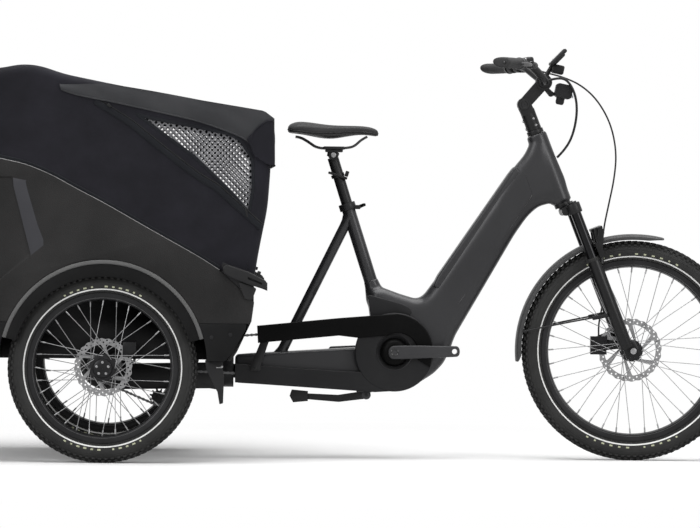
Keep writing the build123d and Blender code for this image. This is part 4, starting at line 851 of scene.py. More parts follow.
def make_wheels():
    fx, fz = (FRONT.x - AXLE_X) / MM, FRONT.z / MM
    front_r = (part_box("tyre_front")[1][2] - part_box("tyre_front")[0][2]) / 2 / MM
    rear_r = (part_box("tyre_rear_right")[1][2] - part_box("tyre_rear_right")[0][2]) / 2 / MM
    front_bead, rear_bead = front_r - 60.0, rear_r - 60.0
    make_tyre("front", FRONT, front_r, front_bead, "wheel_front")
    make_tread("front", FRONT, front_r, "wheel_front")
    make_rim("front", FRONT, front_bead, "wheel_front")
    shell = [(7.6, -48), (14, -48), (16, -34), (19, -29.5), (31, -29.5), (31, -26.5), (19, -26.5), (16, -22),
             (15, 0), (16, 22), (19, 26.5), (31, 26.5), (31, 29.5), (19, 29.5), (18, 34), (22, 38), (22, 41),
             (14, 41), (14, 48), (7.6, 48)]
    make_hub("front", FRONT, fx, fz, 0, "wheel_front", shell, 42.0, 90.0, 0)
    for side, suffix in ((-1, "rear_right"), (1, "rear_left")):
        body = "wheel_" + suffix
        centre = middle("rim_" + suffix)
        y = centre.y / MM
        make_tyre(suffix, centre, rear_r, rear_bead, body)
        make_tread(suffix, centre, rear_r, body)
        make_rim(suffix, centre, rear_bead, body)
        shell = [(10.1, 46), (24, 46), (26, 34), (28, 29.5), (38, 29.5), (38, 26.5), (28, 26.5), (26, 20),
                 (26, -20), (28, -26.5), (38, -26.5), (38, -29.5), (28, -29.5), (26, -34), (26, -41),
                 (16, -41), (16, -46), (10.1, -46)]
        shell = [(r, side * v) for r, v in shell]
        make_hub(suffix, centre, 0, REAR_Z / MM, y, body, shell, -side * 42.0, 80.0, side)


# ------------------------------------------------------------------ cargo box
RAIL = [(-444, 838), (-395, 852), (-340, 850), (-285, 840), (-214, 825), (-144, 796), (-74, 758),
        (-3, 722), (67, 683), (138, 643), (208, 605), (264, 574), (320, 539), (417, 450)]
PANEL_OUT, PANEL_IN = BOX_HALF / MM, BOX_HALF / MM - 10.0
SEAM_Z, ARCH_Z, ARCH_R = 390.0, 276.0, 288.0
RECESS = [(-430, 793), (-252, 792), (-205, 783), (-157, 622), (-157, 604), (-200, 571), (-285, 502),
          (-430, 470)]
RECESS_FLOOR = [(-427, 788), (-256, 786), (-250, 768), (-205, 600), (-203, 592), (-206, 576), (-287, 507),
                (-427, 474)]


def arch_points(radius, z_low, steps=40):
    """Wheel arch from its rear foot over the top to its front foot."""
    a = math.asin((z_low - ARCH_Z) / radius)
    return [(radius * math.cos(t), ARCH_Z + radius * math.sin(t))
            for t in (math.pi - a - (math.pi - 2 * a) * k / steps for k in range(steps + 1))]


def make_side_panel(side, name):
    top = rounded(RAIL, 30.0, 3, closed=False)
    outline = top + [(410, 396), (404, SEAM_Z)] + list(reversed(arch_points(ARCH_R, SEAM_Z))) + [(-430,
                                                                                                  SEAM_Z)]
    y0, y1 = sorted((side * PANEL_IN, side * PANEL_OUT))
    panel = plate(outline, y0, y1, 1.6, 3)
    outer = [at(x, z, side * (PANEL_OUT + 1)) for x, z in RECESS]
    floor = [at(x, z, side * (PANEL_OUT - 4.5)) for x, z in RECESS_FLOOR]
    cutter = sheet_of([outer, floor], closed=True, caps=True)
    cut(panel, cutter)
    finish_piece(panel, name + "_finished", "rear_module", M["foam"], 30, (name,))
    # slanted trim strip in the recess, coloured lighter than the foam partly as painted light
    blade = [(-252, 790), (-207, 781), (-159, 621), (-159, 605), (-200, 573), (-207, 600), (-250, 764)]
    rows = [[at(x, z, side * (PANEL_OUT - d)) for (x, z),
             d in zip(blade, (0.2, 0.0, 0.0, 0.0, 0.2, 2.5, 2.5))],
            [at(x, z, side * (PANEL_OUT - 4.6)) for x, z in blade]]
    strip = sheet_of(rows, closed=True, caps=True)
    apply_modifier(strip, "BEVEL", width=0.6 * MM, segments=2, limit_method="ANGLE",
                   angle_limit=math.radians(50))
    finish_piece(strip, name + "_blade", "rear_module", M["blade"], 30)
    # thin tube along the rail, coloured light grey as a painted edge highlight
    edge = [at(x, z - 0.6, side * (PANEL_OUT - 2.2)) for x, z in rounded(RAIL[:-1], 30.0, 3, closed=False)]
    piping = tube(edge, 1.7, 8)
    finish_piece(piping, name + "_piping", "rear_module", M["piping"], 40)


def make_lip(side, name):
    """Fender lip: a bevelled outer band and a flat inner band around the wheel arch; the bevel is coloured
    lighter as a painted highlight.
    """
    bands = ([], [])
    steps, foot = 64, math.radians(14.5)
    for k in range(steps + 1):
        a = foot + (math.pi - 2 * foot) * k / steps
        ca, sa = math.cos(a), math.sin(a)
        drop = 10.0 * sa
        inner = math.sqrt(max(250.0**2 - (10.0 * ca) ** 2, 0)) - drop
        for band, ring in zip(bands, (
                [(ARCH_R - 0.6, 18), (ARCH_R - 0.8, 0), (ARCH_R - 2.0, -1.6), (ARCH_R - 9.5, -2.0),
                 (ARCH_R - 12.0, 0.4), (ARCH_R - 12.0, 18)],
                [(ARCH_R - 12.2, 18), (ARCH_R - 12.2, 0.8), (inner + 6, 1.0), (inner + 1.5, 1.6),
                 (inner, 3.5), (inner, 18)])):
            band.append([at(r * ca, ARCH_Z + r * sa, side * (PANEL_OUT - d)) for r, d in ring])
    made = []
    # the bevel band takes the lighter painted-highlight colour
    for rows, finish, end in zip(bands, ("lip_painted_highlight", "lip_dark"), ("_bevel", "_band")):
        lip = sheet_of(rows, closed=True, caps=True)
        apply_modifier(lip, "BEVEL", width=0.7 * MM, segments=2, limit_method="ANGLE",
                       angle_limit=math.radians(28))
        made.append(finish_piece(lip, name + end, "rear_module", M[finish], 30))
    return made[0]


def make_box():
    for side, name in ((-1, "side_panel_right"), (1, "side_panel_left")):
        make_side_panel(side, name)
    lips = [make_lip(side, "fender_lip_" + name) for side, name in ((-1, "right"), (1, "left"))]
    for side, name in ((-1, "right"), (1, "left")):
        y0, y1 = sorted((side * (REAR_Y / MM - 45), side * (REAR_Y / MM + 28)))
        flap = plate([(283, 285.6), (333, 285.6), (333, 262), (336, 240), (334, 169), (324, 166), (318, 200),
                      (300, 235), (287, 262)], y0, y1, 1.2)
        finish_piece(flap, "mud_flap_" + name, "rear_module", M["plastic"], 30)
        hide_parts("fenders")
        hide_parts("fenders")
        clip = join(box_at((322, 268, side * (REAR_Y / MM + 29.5)), (16, 8, 3), 0, 1.0),
                    rod(at(330, 270, side * 405), at(330, 270, side * 411), 3.2, 12, 0.5))
        finish_piece(clip, "flap_clip_" + name, "rear_module", M["spoke"], 30)
    soften_node("lower_tub", M["tub"], 1.5, 2)
    soften_node("front_panel", M["foam"], 2.0, 3)
    soften_node("tailgate", M["foam"], 1.5, 2)
    soften_node("corner_handles", M["cover"], 2.2, 3)
    bar = [(327, 546), (340, 555), (400, 535), (423, 524), (450, 510), (453, 492), (441, 487), (395, 501),
           (359, 514), (333, 528)]
    for side, name in ((-1, "right"), (1, "left")):
        y0, y1 = sorted((side * (PANEL_OUT + 0.4), side * (PANEL_OUT + 15.0)))
        grab = cushioned(rounded(bar, 7.0, 3), y0, y1, 5.0, 4)
        slot = plate(rounded([(398, 521), (438, 504), (439, 498), (399, 514)], 3.0, 2), -500, 500)
        cut(grab, slot)
        knob = rod(at(428, 527, side * (PANEL_OUT + 7)), at(431, 536, side * (PANEL_OUT + 7)), 5.0, 20, 1.2)
        y0, y1 = sorted((side * (PANEL_OUT + 0.4), side * (PANEL_OUT + 6.0)))
        root = plate(rounded([(372, 507), (424, 489), (410, 455), (391, 459)], 7.0, 3), y0, y1, 1.2)
        finish_piece(join(grab, knob, root), "grab_bar_" + name, "rear_module", M["plastic"],
                     40)
    lamps = []
    for side in (-1, 1):
        lens = box_at((-452.5, 665, side * 365), (6, 44, 64), 0, 2.0)
        low = Vector(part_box("tailgate")[0])
        lens.data.transform(Matrix.Translation((max(0.0, low.x - min(v.co.x for v in lens.data.vertices)),
                                                0, 0)))
        lamps.append(lens)
    finish_piece(join(*lamps), "tail_lamps", "rear_module", M["tail"], 30)
    screws = []
    for side in (-1, 1):
        for x, z in ((352, 360), (-352, 360), (300, 352)):
            screws.append(rod(at(x, z, side * (PANEL_OUT - 2)), at(x, z, side * (PANEL_OUT + 0.8)), 5.0, 16,
                              0.8))
    finish_piece(join(*screws), "tub_screws", "rear_module", M["hub"], 30)


# ------------------------------------------------------------------ hood
CANOPY_TOP = [(-446, 862), (-436, 985), (-400, 1060), (-340, 1086), (-285, 1091), (-232, 1102),
              (-179, 1098), (-116, 1076), (6, 1052), (129, 1029), (264, 1006), (432, 977), (462, 958),
              (459, 820), (452, 712), (440, 651), (429, 594), (418, 524)]
WINDOW = [(83, 969), (129, 955), (248, 934), (340, 915), (372, 901), (409, 846), (411, 765),
          (400, 697), (353, 750), (287, 814), (242, 855)]
CANOPY_HALF = 427.0
EDGE_R = 24.0
HOOPS = (((-300, 834), (-330, 1073)), ((-60, 738), (-150, 1073)), ((392, 505), (436, 951)))


def from_line(x, z, a, b):
    """Distance of (x, z) from the line through a and b."""
    (ax, az), (bx, bz) = a, b
    size = math.hypot(bx - ax, bz - az)
    return abs((x - ax) * (bz - az) - (z - az) * (bx - ax)) / size


def cloth_fold(x, z):
    """How far the hood's side stands out at a point, in mm: taut over the hoops, loose between."""
    near = min(from_line(x, z, a, b) for a, b in HOOPS)
    slack = min(near / 120.0, 1.0)
    p = Vector((x, z, 3.0))
    wide = noise.noise(p * 0.006) * 2.6
    ripple = math.sin((x * 0.55 + z * 0.9) * 0.028 + noise.noise(p * 0.01) * 2.5) * 1.5
    fine = noise.noise(p * 0.03) * 0.9
    return (wide + ripple + fine) * (0.35 + 0.65 * slack) - 2.2 * slack


def make_hood():
    top = along([Vector((x, z)) for x, z in rounded(CANOPY_TOP, 34.0, 4, closed=False)], 150)
    foot_line = [Vector((x, z + 0.6)) for x, z in rounded(RAIL[:-1], 30.0, 3,
                                                          closed=False)] + [Vector((417, 521))]
    feet = along(foot_line, 150)
    normals = []
    for i in range(len(top)):
        run = top[min(i + 1, len(top) - 1)] - top[max(i - 1, 0)]
        normals.append(Vector((run.y, -run.x)).normalized())
    rows = []
    side_steps, arc_steps, roof_steps = 26, 5, 22
    for t, n, f in zip(top, normals, feet):
        start = t + n * EDGE_R
        half = []
        for k in range(side_steps + 1):
            s = k / side_steps
            q = f.lerp(start, s)
            out = cloth_fold(q.x, q.y) * min(1.0, s * 8, 1.2 - s)
            half.append((q.x, q.y, CANOPY_HALF + out))
        for k in range(1, arc_steps + 1):
            a = math.pi / 2 * k / arc_steps
            q = t + n * EDGE_R * (1 - math.sin(a))
            half.append((q.x, q.y, CANOPY_HALF - EDGE_R + EDGE_R * math.cos(a)))
        roof = []
        for k in range(1, roof_steps):
            y = (CANOPY_HALF - EDGE_R) * (1 - 2 * k / roof_steps)
            p = Vector((t.x, t.y, y))
            sag = (noise.noise(p * 0.008) * 3.0 - 3.5) * (1 - (y / CANOPY_HALF) ** 4)
            q = t + n * abs(min(sag, 0))
            roof.append((q.x, q.y, y))
        line = half + roof + [(x, z, -y) for x, z, y in reversed(half)]
        rows.append([at(x, z, y) for x, z, y in line])
    hood = sheet_of(rows)
    apply_modifier(hood, "SOLIDIFY", thickness=1.6 * MM, offset=-1.0)
    windows = [plate(rounded(WINDOW, 10.0, 2), *sorted((side * 380, side * 450))) for side in (-1, 1)]
    cut(hood, *windows)
    finish_piece(hood, "hood", "rear_module", M["canopy"], 60, ("canopy",))
    for side, name in ((-1, "right"), (1, "left")):
        shape = rounded(WINDOW, 10.0, 2)
        pane = plate(inwards(shape, -5.0), *sorted((side * 423.0, side * 423.8)))
        finish_piece(pane, "window_net_" + name, "rear_module", M["net"], 0)
        binding(shape, side, "window_binding_" + name, 9.0, True)
        zip_line = [(-28, 1000), (20, 972), (74, 938), (165, 865), (257, 796), (311, 765), (384, 700),
                    (436, 655)]
        binding(zip_line, side, "zip_flap_" + name, 17.0, False, 2.6)
        teeth(zip_line, side, "zip_teeth_" + name)
        hem = [(x, z + 5.0) for x, z in rounded(RAIL[1:-1], 30.0, 3, closed=False)]
        binding(hem, side, "hood_hem_" + name, 11.0, False, 2.0)


def binding(points, side, name, width, closed, proud=1.0):
    """A sewn band that follows a line on the hood's side."""
    line = [Vector(p) for p in points]
    if not closed:
        line = along(line, max(24, len(points)))
    rows = []
    count = len(line)
    for i, p in enumerate(line):
        if closed:
            run = line[(i + 1) % count] - line[i - 1]
        else:
            run = line[min(i + 1, count - 1)] - line[max(i - 1, 0)]
        n = Vector((-run.y, run.x)).normalized()
        row = []
        for off, lift in ((-0.5, 0.2), (-0.46, 1.3), (-0.3, 1.7), (0, 1.4), (0.3, 1.7), (0.46, 1.3),
                          (0.5, 0.2),
                          (0, -0.6)):
            q = p + n * off * width
            y = CANOPY_HALF + cloth_fold(q.x, q.y) * 0.9 + lift * proud
            row.append(at(q.x, q.y, side * min(y, PANEL_OUT - 1.0)))
        rows.append(row)
    if closed:
        rows.append(rows[0])
    band = sheet_of(rows, closed=True, caps=not closed)
    if closed:
        edit_all(band)
        bpy.ops.mesh.remove_doubles(threshold=1e-6)
        bpy.ops.mesh.normals_make_consistent(inside=False)
        done()
    finish_piece(band, name, "rear_module", M["binding"], 60)


def teeth(points, side, name):
    """Zip chain under the flap's edge, with its slider and pull."""
    line = along([Vector((x + 6, z + 9)) for x, z in points], 90)
    parts = []
    path = [at(p.x, p.y, side * (CANOPY_HALF + cloth_fold(p.x, p.y) * 0.9 + 1.2)) for p in line[::3]]
    parts.append(tube(path, 1.6, 8))
    end = line[6]
    parts.append(box_at((end.x, end.y, side * (CANOPY_HALF + 3.0)), (12, 3, 8), -38, 1.0))
    low = line[80]
    parts.append(box_at((low.x, low.y - 8, side * (CANOPY_HALF + 3.2)), (5, 2, 26), 10, 0.9))
    finish_piece(join(*parts), name, "rear_module", M["zip"], 40)


VISOR_HIGH = [(-124, 1046), (6, 1050), (129, 1031), (264, 1007), (440, 979)]
VISOR_LOW = [(-120, 1032), (-88, 1019), (14, 1001), (129, 977), (264, 948), (388, 904), (470, 830)]


def make_visor():
    """Rain flap folded back along the roof's edge and down over the front corner."""
    for side, name in ((-1, "right"), (1, "left")):
        high = along([Vector(p) for p in VISOR_HIGH] + [Vector((468, 958))], 60)
        low = along([Vector(p) for p in rounded(VISOR_LOW, 30.0, 3, closed=False)], 60)
        rows = []
        for a, b in zip(high, low):
            row = []
            for k in range(13):
                s = k / 12
                q = a.lerp(b, s)
                p = Vector((q.x, q.y, 9.0))
                puff = math.sin(math.pi * s) * (2.4 + 1.6 * noise.noise(p * 0.02))
                crease = 0.9 * math.sin(q.x * 0.05 + q.y * 0.11 + 2 * noise.noise(p * 0.012))
                tuck = 1.0 if 0 < k < 12 else 0.0
                row.append(at(q.x, q.y, side * (CANOPY_HALF + 1.2 + (puff + crease) * tuck)))
            rows.append(row)
        flap = sheet_of(rows)
        apply_modifier(flap, "SOLIDIFY", thickness=1.6 * MM, offset=0.0)
        hem = tube([r[12] + Vector((0, side * 0.6 * MM, 0)) for r in rows[::3]], 2.6, 8)
        toe = tube([r[0] for r in rows[:1]] + [rows[0][k] for k in (4, 8, 12)], 2.4, 8)
        flap = finish_piece(join(flap, hem, toe), "visor_side_" + name, "rear_module", M["visor"],
                            60)
        fold = [(391, 902), (448, 957), (465, 951), (471, 827), (451, 831), (418, 850)]
        y0, y1 = sorted((side * (CANOPY_HALF + 2.0), side * (CANOPY_HALF + 8.0)))
        tuck = cushioned(rounded(fold, 8.0, 3), y0, y1, 2.9, 3)
        rim = tube([at(x, z, side * (CANOPY_HALF + 7.0)) for x, z in (fold[5], fold[0], fold[1], fold[2])],
                   2.4, 8)
        tuck = finish_piece(join(tuck, rim), "visor_corner_" + name, "rear_module", M["canopy"],
                            50)
    rows = []
    for k in range(41):
        y = CANOPY_HALF * (1 - 2 * k / 40)
        row = []
        for j in range(15):
            s = j / 14
            z = 960 - s * 132
            p = Vector((y * 0.02, z * 0.03, 4.0))
            out = 3.0 * math.sin(math.pi * s) + 1.3 * noise.noise(p) + 6.0 * s
            row.append(at(464.5 + out * 0.8, z + 2.0 * noise.noise(Vector((y * 0.01, 1, 1))), y))
        rows.append(row)
    front = sheet_of(rows)
    apply_modifier(front, "SOLIDIFY", thickness=1.8 * MM, offset=0.0)
    hem = tube([r[14] for r in rows[::4]], 3.0, 8)
    front = finish_piece(join(front, hem), "visor_front", "rear_module", M["visor"], 60,
                         ("visor_flap",))


# ------------------------------------------------------------------ bench
def padded_block(name, box_points, cap):
    """Cushion blown up from a slightly smaller block by a cloth simulation."""
    outline, y0, y1 = box_points
    obj = plate(outline, y0, y1, 10.0, 3)
    apply_modifier(obj, "REMESH", mode="VOXEL", voxel_size=0.008, use_smooth_shade=True)
    rest = [v.co.copy() for v in obj.data.vertices]
    pick(obj)
    cloth = obj.modifiers.new("Cloth", "CLOTH")
    cloth.settings.use_pressure = True
    cloth.settings.uniform_pressure_force = 4.0
    cloth.settings.effector_weights.gravity = 0.0
    cloth.point_cache.frame_start, cloth.point_cache.frame_end = 1, 20
    for f in range(1, 21):
        bpy.context.scene.frame_set(f)
    bpy.ops.object.modifier_apply(modifier=cloth.name)
    bpy.context.scene.frame_set(1)
    for v, r in zip(obj.data.vertices, rest):
        move = v.co - r
        if move.length > cap * MM:
            v.co = r + move.normalized() * cap * MM
    apply_modifier(obj, "SMOOTH", factor=0.5, iterations=6)
    apply_modifier(obj, "SUBSURF", levels=1)
    finish_piece(obj, name, "rear_module", M["bench"], 60)
    return obj


def make_bench():
    wide = 286.0
    seat = padded_block("seat_cushion", ([(-322, 569), (-38, 569), (-38, 611), (-322, 611)], -wide, wide),
                        8)
    back = padded_block("back_cushion", ([(-379, 630), (-343, 630), (-372, 980), (-399, 980)], -wide, wide),
                        6)
    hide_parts("bench")
    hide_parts("bench")
    legs = []
    for side in (-1, 1):
        y = side * 280
        legs.append(box_at((-190, 481, y), (280, 12, 158), 0, 2.0))
        legs.append(box_at((-362, 511, y), (45, 12, 217), 0, 2.0))
    finish_piece(join(*legs), "bench_frame", "rear_module", M["black"], 30)
    seams = []
    for z in (576, 604):
        loop = [(-326, -290), (-34, -290), (-34, 290), (-326, 290)]
        seams.append(tube([at(x, z, y) for x, y in rounded(loop, 20, 3)], 1.6, 8, closed=True))
    finish_piece(join(*seams), "seat_piping", "rear_module", M["binding"], 60)


# ------------------------------------------------------------------ chain drive
CHAIN_Y, PITCH = -52.0, 12.7


def pitch_radius(teeth):
    return PITCH / (2 * math.sin(math.pi / teeth))


def chain_line():
    """The chain's centreline around its four wheels, in even link steps."""
    wheels = [((0.0, REAR_Z / MM), pitch_radius(24), 1), ((150.0, 170.0), pitch_radius(11), 1),
              ((235.0, 222.0), 22.8, -1), ((820.0, 304.0), pitch_radius(40), 1)]
    runs = []
    for (c1, r1, s1), (c2, r2, s2) in zip(wheels, wheels[1:] + wheels[:1]):
        dx, dz = c2[0] - c1[0], c2[1] - c1[1]
        a = math.atan2(dz, dx) + math.asin((s1 * r1 - s2 * r2) / math.hypot(dx, dz))
        nx, nz = math.sin(a), -math.cos(a)
        runs.append(((c1[0] + s1 * r1 * nx, c1[1] + s1 * r1 * nz),
                     (c2[0] + s2 * r2 * nx, c2[1] + s2 * r2 * nz)))
    line = []
    for i, (c, r, s) in enumerate(wheels):
        arrive, leave = runs[i - 1][1], runs[i][0]
        a0 = math.atan2(arrive[1] - c[1], arrive[0] - c[0])
        a1 = math.atan2(leave[1] - c[1], leave[0] - c[0])
        span = (a1 - a0) % (2 * math.pi) if s > 0 else -((a0 - a1) % (2 * math.pi))
        steps = max(4, int(abs(span) * r / 3))
        line += [(c[0] + r * math.cos(a0 + span * k / steps), c[1] + r * math.sin(a0 + span * k / steps))
                 for k in range(steps + 1)]
    line.append(line[0])
    total = sum(math.hypot(b[0] - a[0], b[1] - a[1]) for a, b in zip(line, line[1:]))
    return along(line, 2 * round(total / PITCH / 2))


def link_plate(a, b, y0, y1):
    """One figure-of-eight side plate between two pins."""
    run = b - a
    size = run.length
    u, n = run / size, Vector((-run.y, run.x)) / size
    half = []
    for d, h in ((-4.1, 0), (-3.0, 2.9), (0, 4.1), (3.4, 3.1), (size / 2, 2.5), (size - 3.4, 3.1),
                 (size, 4.1), (size + 3.0, 2.9), (size + 4.1, 0)):
        half.append((d, h))
    shape = half + [(d, -h) for d, h in reversed(half[1:-1])]
    return plate([tuple(a + u * d + n * h) for d, h in shape], y0, y1)


def make_chain():
    pins = chain_line()[:-1]
    proto = {}
    for kind, y in (("outer", 3.05), ("inner", 2.05)):
        a, b = Vector((0, 0)), Vector((PITCH, 0))
        pair = join(link_plate(a, b, CHAIN_Y - y - 0.45, CHAIN_Y - y + 0.45),
                    link_plate(a, b, CHAIN_Y + y - 0.45, CHAIN_Y + y + 0.45),
                    rod(at(0, 0, CHAIN_Y - 3.6), at(0, 0, CHAIN_Y + 3.6), 1.8, 10),
                    rod(at(0, 0, CHAIN_Y - 1.5), at(0, 0, CHAIN_Y + 1.5), 3.8, 12))
        proto[kind] = pair
    links = []
    home = at(0, 0)
    for i, a in enumerate(pins):
        b = pins[(i + 1) % len(pins)]
        link = proto["outer" if i % 2 else "inner"].copy()
        link.data = link.data.copy()
        bpy.context.scene.collection.objects.link(link)
        turn = Matrix.Rotation(-math.atan2(b.y - a.y, b.x - a.x), 4, "Y")
        link.data.transform(Matrix.Translation(at(a.x, a.y)) @ turn @ Matrix.Translation(-home))
        links.append(link)
    for pair in proto.values():
        bpy.data.objects.remove(pair)
    chain = join(*links)
    chain.name = "drive_chain"
    chain.data.name = "drive_chain"
    chain.data.materials.clear()
    chain.data.materials.append(M["chain"])
    smooth(chain, 35)
    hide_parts("chain_rear", "chain_front")
    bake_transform(chain)


GUARD = arc3((828, 414), (906, 372), (930, 306), 18) + [(922, 262), (885, 284)] + \
    arc3((885, 284), (866, 346), (800, 352), 14)[1:] + [(716, 344), (662, 350), (432, 327), (429, 376),
                                                        (662, 400)]
COVER_Y0, COVER_Y1 = -66.0, -62.0


def circle(cx, cz, r, steps=96):
    return [(cx + r * math.cos(2 * math.pi * k / steps), cz + r * math.sin(2 * math.pi * k / steps))
            for k in range(steps)]


def make_drive_covers():
    cx, cz = (CRANK.x - AXLE_X) / MM, CRANK.z / MM
    guard = cushioned(GUARD, -76.0, -66.3, 3.0, 3)
    finish_piece(guard, "chain_guard_channel", "front_frame", M["guard"], 40,
                 ("chain_guard",))
    bracket = plate(rounded([(440, 332), (464, 334), (440, 262), (440, 248), (412, 248), (412, 262)], 4, 2),
                    -73.0, -69.5, 0.8)
    screw = rod(at(425, 255, -69), at(425, 255, -75), 5.0, 6, 0.8)
    finish_piece(join(bracket, screw), "guard_bracket", "front_frame", M["black"], 30)
    disc_body = cushioned(circle(cx, cz, 112), COVER_Y0 - 1.5, COVER_Y1 + 8, 4.0, 4)
    beam = cushioned([(368, 214), (600, 200), (765, 190), (832, 194), (800, 240), (760, 247), (665, 249),
                      (368, 267)],
                     COVER_Y0, COVER_Y1 + 22, 3.0, 3)
    hole = rod(at(cx, cz, -90), at(cx, cz, -40), 50.0, 96)
    cut(disc_body, hole)
    finish_piece(disc_body, "drive_cover_disc", "front_frame", M["cover"], 40,
                 ("motor_cover",))
    finish_piece(beam, "drive_cover_beam", "front_frame", M["cover"], 40)
    left = lathe([(12.8, 44), (96, 44), (96, 46), (92, 49), (60, 50.5), (13, 50.5)], at(cx, cz), 96)
    finish_piece(left, "drive_cover_left", "front_frame", M["cover"], 40)
    bezel = lathe([(49.5, -70.5), (51.5, -69.0), (51.5, -64), (41, -60), (41, -63), (46.5, -68.5)],
                  at(cx, cz), 96)
    finish_piece(bezel, "crank_bezel", "front_frame", M["lever"], 40)
    spider = lathe([(20, -79), (30, -77), (36, -71), (40.5, -64), (40.5, -58), (14, -58), (14, -79)],
                   at(cx, cz), 72)
    finish_piece(spider, "crank_spider", "crankset", M["guard"], 40)


def crank_arm(side):
    """Forged arm: round at the spindle, slimmer towards the pedal eye."""
    cx, cz = (CRANK.x - AXLE_X) / MM, CRANK.z / MM
    fall = math.radians(1.5)
    way = 1 if side < 0 else -1
    ux, uz = way * math.cos(fall), way * math.sin(fall)
    nx, nz = -uz, ux

    def p(d, h):
        return (cx + ux * d + nx * h, cz + uz * d + nz * h)
    half_turn = [math.pi * k / 14 for k in range(15)]
    shape = [p(-16 * math.sin(t) - 2, 19 * math.cos(t)) for t in half_turn]
    shape += [p(30, -19.0), p(70, -18.0), p(120, -16.6)]
    shape += [p(170 + 15 * math.sin(t) ** 0.6, -15.4 * math.cos(t)) for t in half_turn]
    shape += [p(120, 16.8), p(70, 18.6), p(30, 19.4)]
    y0, y1 = sorted((side * 80, side * 94))
    arm = cushioned(shape, y0, y1, 3.2, 3)
    eye = rod(at(*p(170, 0), side * 75), at(*p(170, 0), side * 99), 7.1, 32)
    return cut(arm, eye)


def make_cranks():
    cx, cz = (CRANK.x - AXLE_X) / MM, CRANK.z / MM
    right = crank_arm(-1)
    left = crank_arm(1)
    spindle = rod(at(cx, cz, -86), at(cx, cz, 86), 12.0, 40)
    carrier = rod(at(cx, cz, -60), at(cx, cz, -53.5), 46.0, 64, 1.0)
    finish_piece(join(right, left, spindle, carrier), "crank_arms", "crankset", M["crank"], 40,
                 ("cranks",))
    bolts = []
    for side in (-1, 1):
        bolts.append(lathe([(0.4, side * 93), (11.5, side * 93), (11.5, side * 94.5), (9.5, side * 95.2),
                            (7.5, side * 94.4), (6.5, side * 93.6), (0.4, side * 93.6)], at(cx, cz), 32))
    finish_piece(join(*bolts), "crank_bolts", "crankset", M["gloss"], 35)
    eyes = []
    for side, way in ((-1, 1), (1, -1)):
        fall = math.radians(1.5)
        x, z = cx + way * 170 * math.cos(fall), cz + way * 170 * math.sin(fall)
        a, b = side * 80.2, side * 94.2
        eyes.append(lathe([(7.1, a), (7.9, a), (7.9, b), (7.1, b)], at(x, z), 32))
    finish_piece(join(*eyes), "pedal_eyes", "crankset", M["spoke"], 35)
    soften_node("chainring", M["chain"], 0.4, 1)


# ------------------------------------------------------------------ front frame
HEAD_ANGLE = math.radians(21.4)
HEAD = (1297.0, 734.0)
FRAME_HALF, NECK_HALF = 44.0, 27.0


def on_steer(along_up, ahead=0.0, y=0.0):
    """Frame point measured up the steering axis from the head tube's lower end."""
    x = HEAD[0] - math.sin(HEAD_ANGLE) * along_up + math.cos(HEAD_ANGLE) * ahead
    z = HEAD[1] + math.cos(HEAD_ANGLE) * along_up + math.sin(HEAD_ANGLE) * ahead
    return at(x, z, y)


def width_share(x):
    """The frame narrows from the down tube to the head."""
    return 1.0 - (1 - NECK_HALF / FRAME_HALF) * min(max((x - 1120.0) / 165.0, 0), 1)


TUBE_LOW, TUBE_HIGH = Vector((921, 487)), Vector((1168, 848))
TUBE_DIR = (Vector((1141, 810)) - Vector((945, 521))).normalized()
TUBE_IN = Vector((TUBE_DIR.y, -TUBE_DIR.x))


def on_tube(end, forward, into):
    p = end + TUBE_DIR * forward + TUBE_IN * into
    return (p.x, p.y)


def domed(obj, outline, reach, least):
    """Rounds a flat block's sides towards its outline and narrows it towards the head."""
    edges = [(Vector(a), Vector(b)) for a, b in zip(outline, outline[1:] + outline[:1])]
    for v in obj.data.vertices:
        p = Vector(((v.co.x - AXLE_X) / MM, v.co.z / MM))
        near = reach
        for a, b in edges:
            run = b - a
            share = min(max((p - a).dot(run) / run.length_squared, 0.0), 1.0)
            near = min(near, (a + run * share - p).length)
        bulge = math.sqrt(1 - (1 - near / reach) ** 2)
        v.co.y *= (least + (1 - least) * bulge) * width_share(p.x)


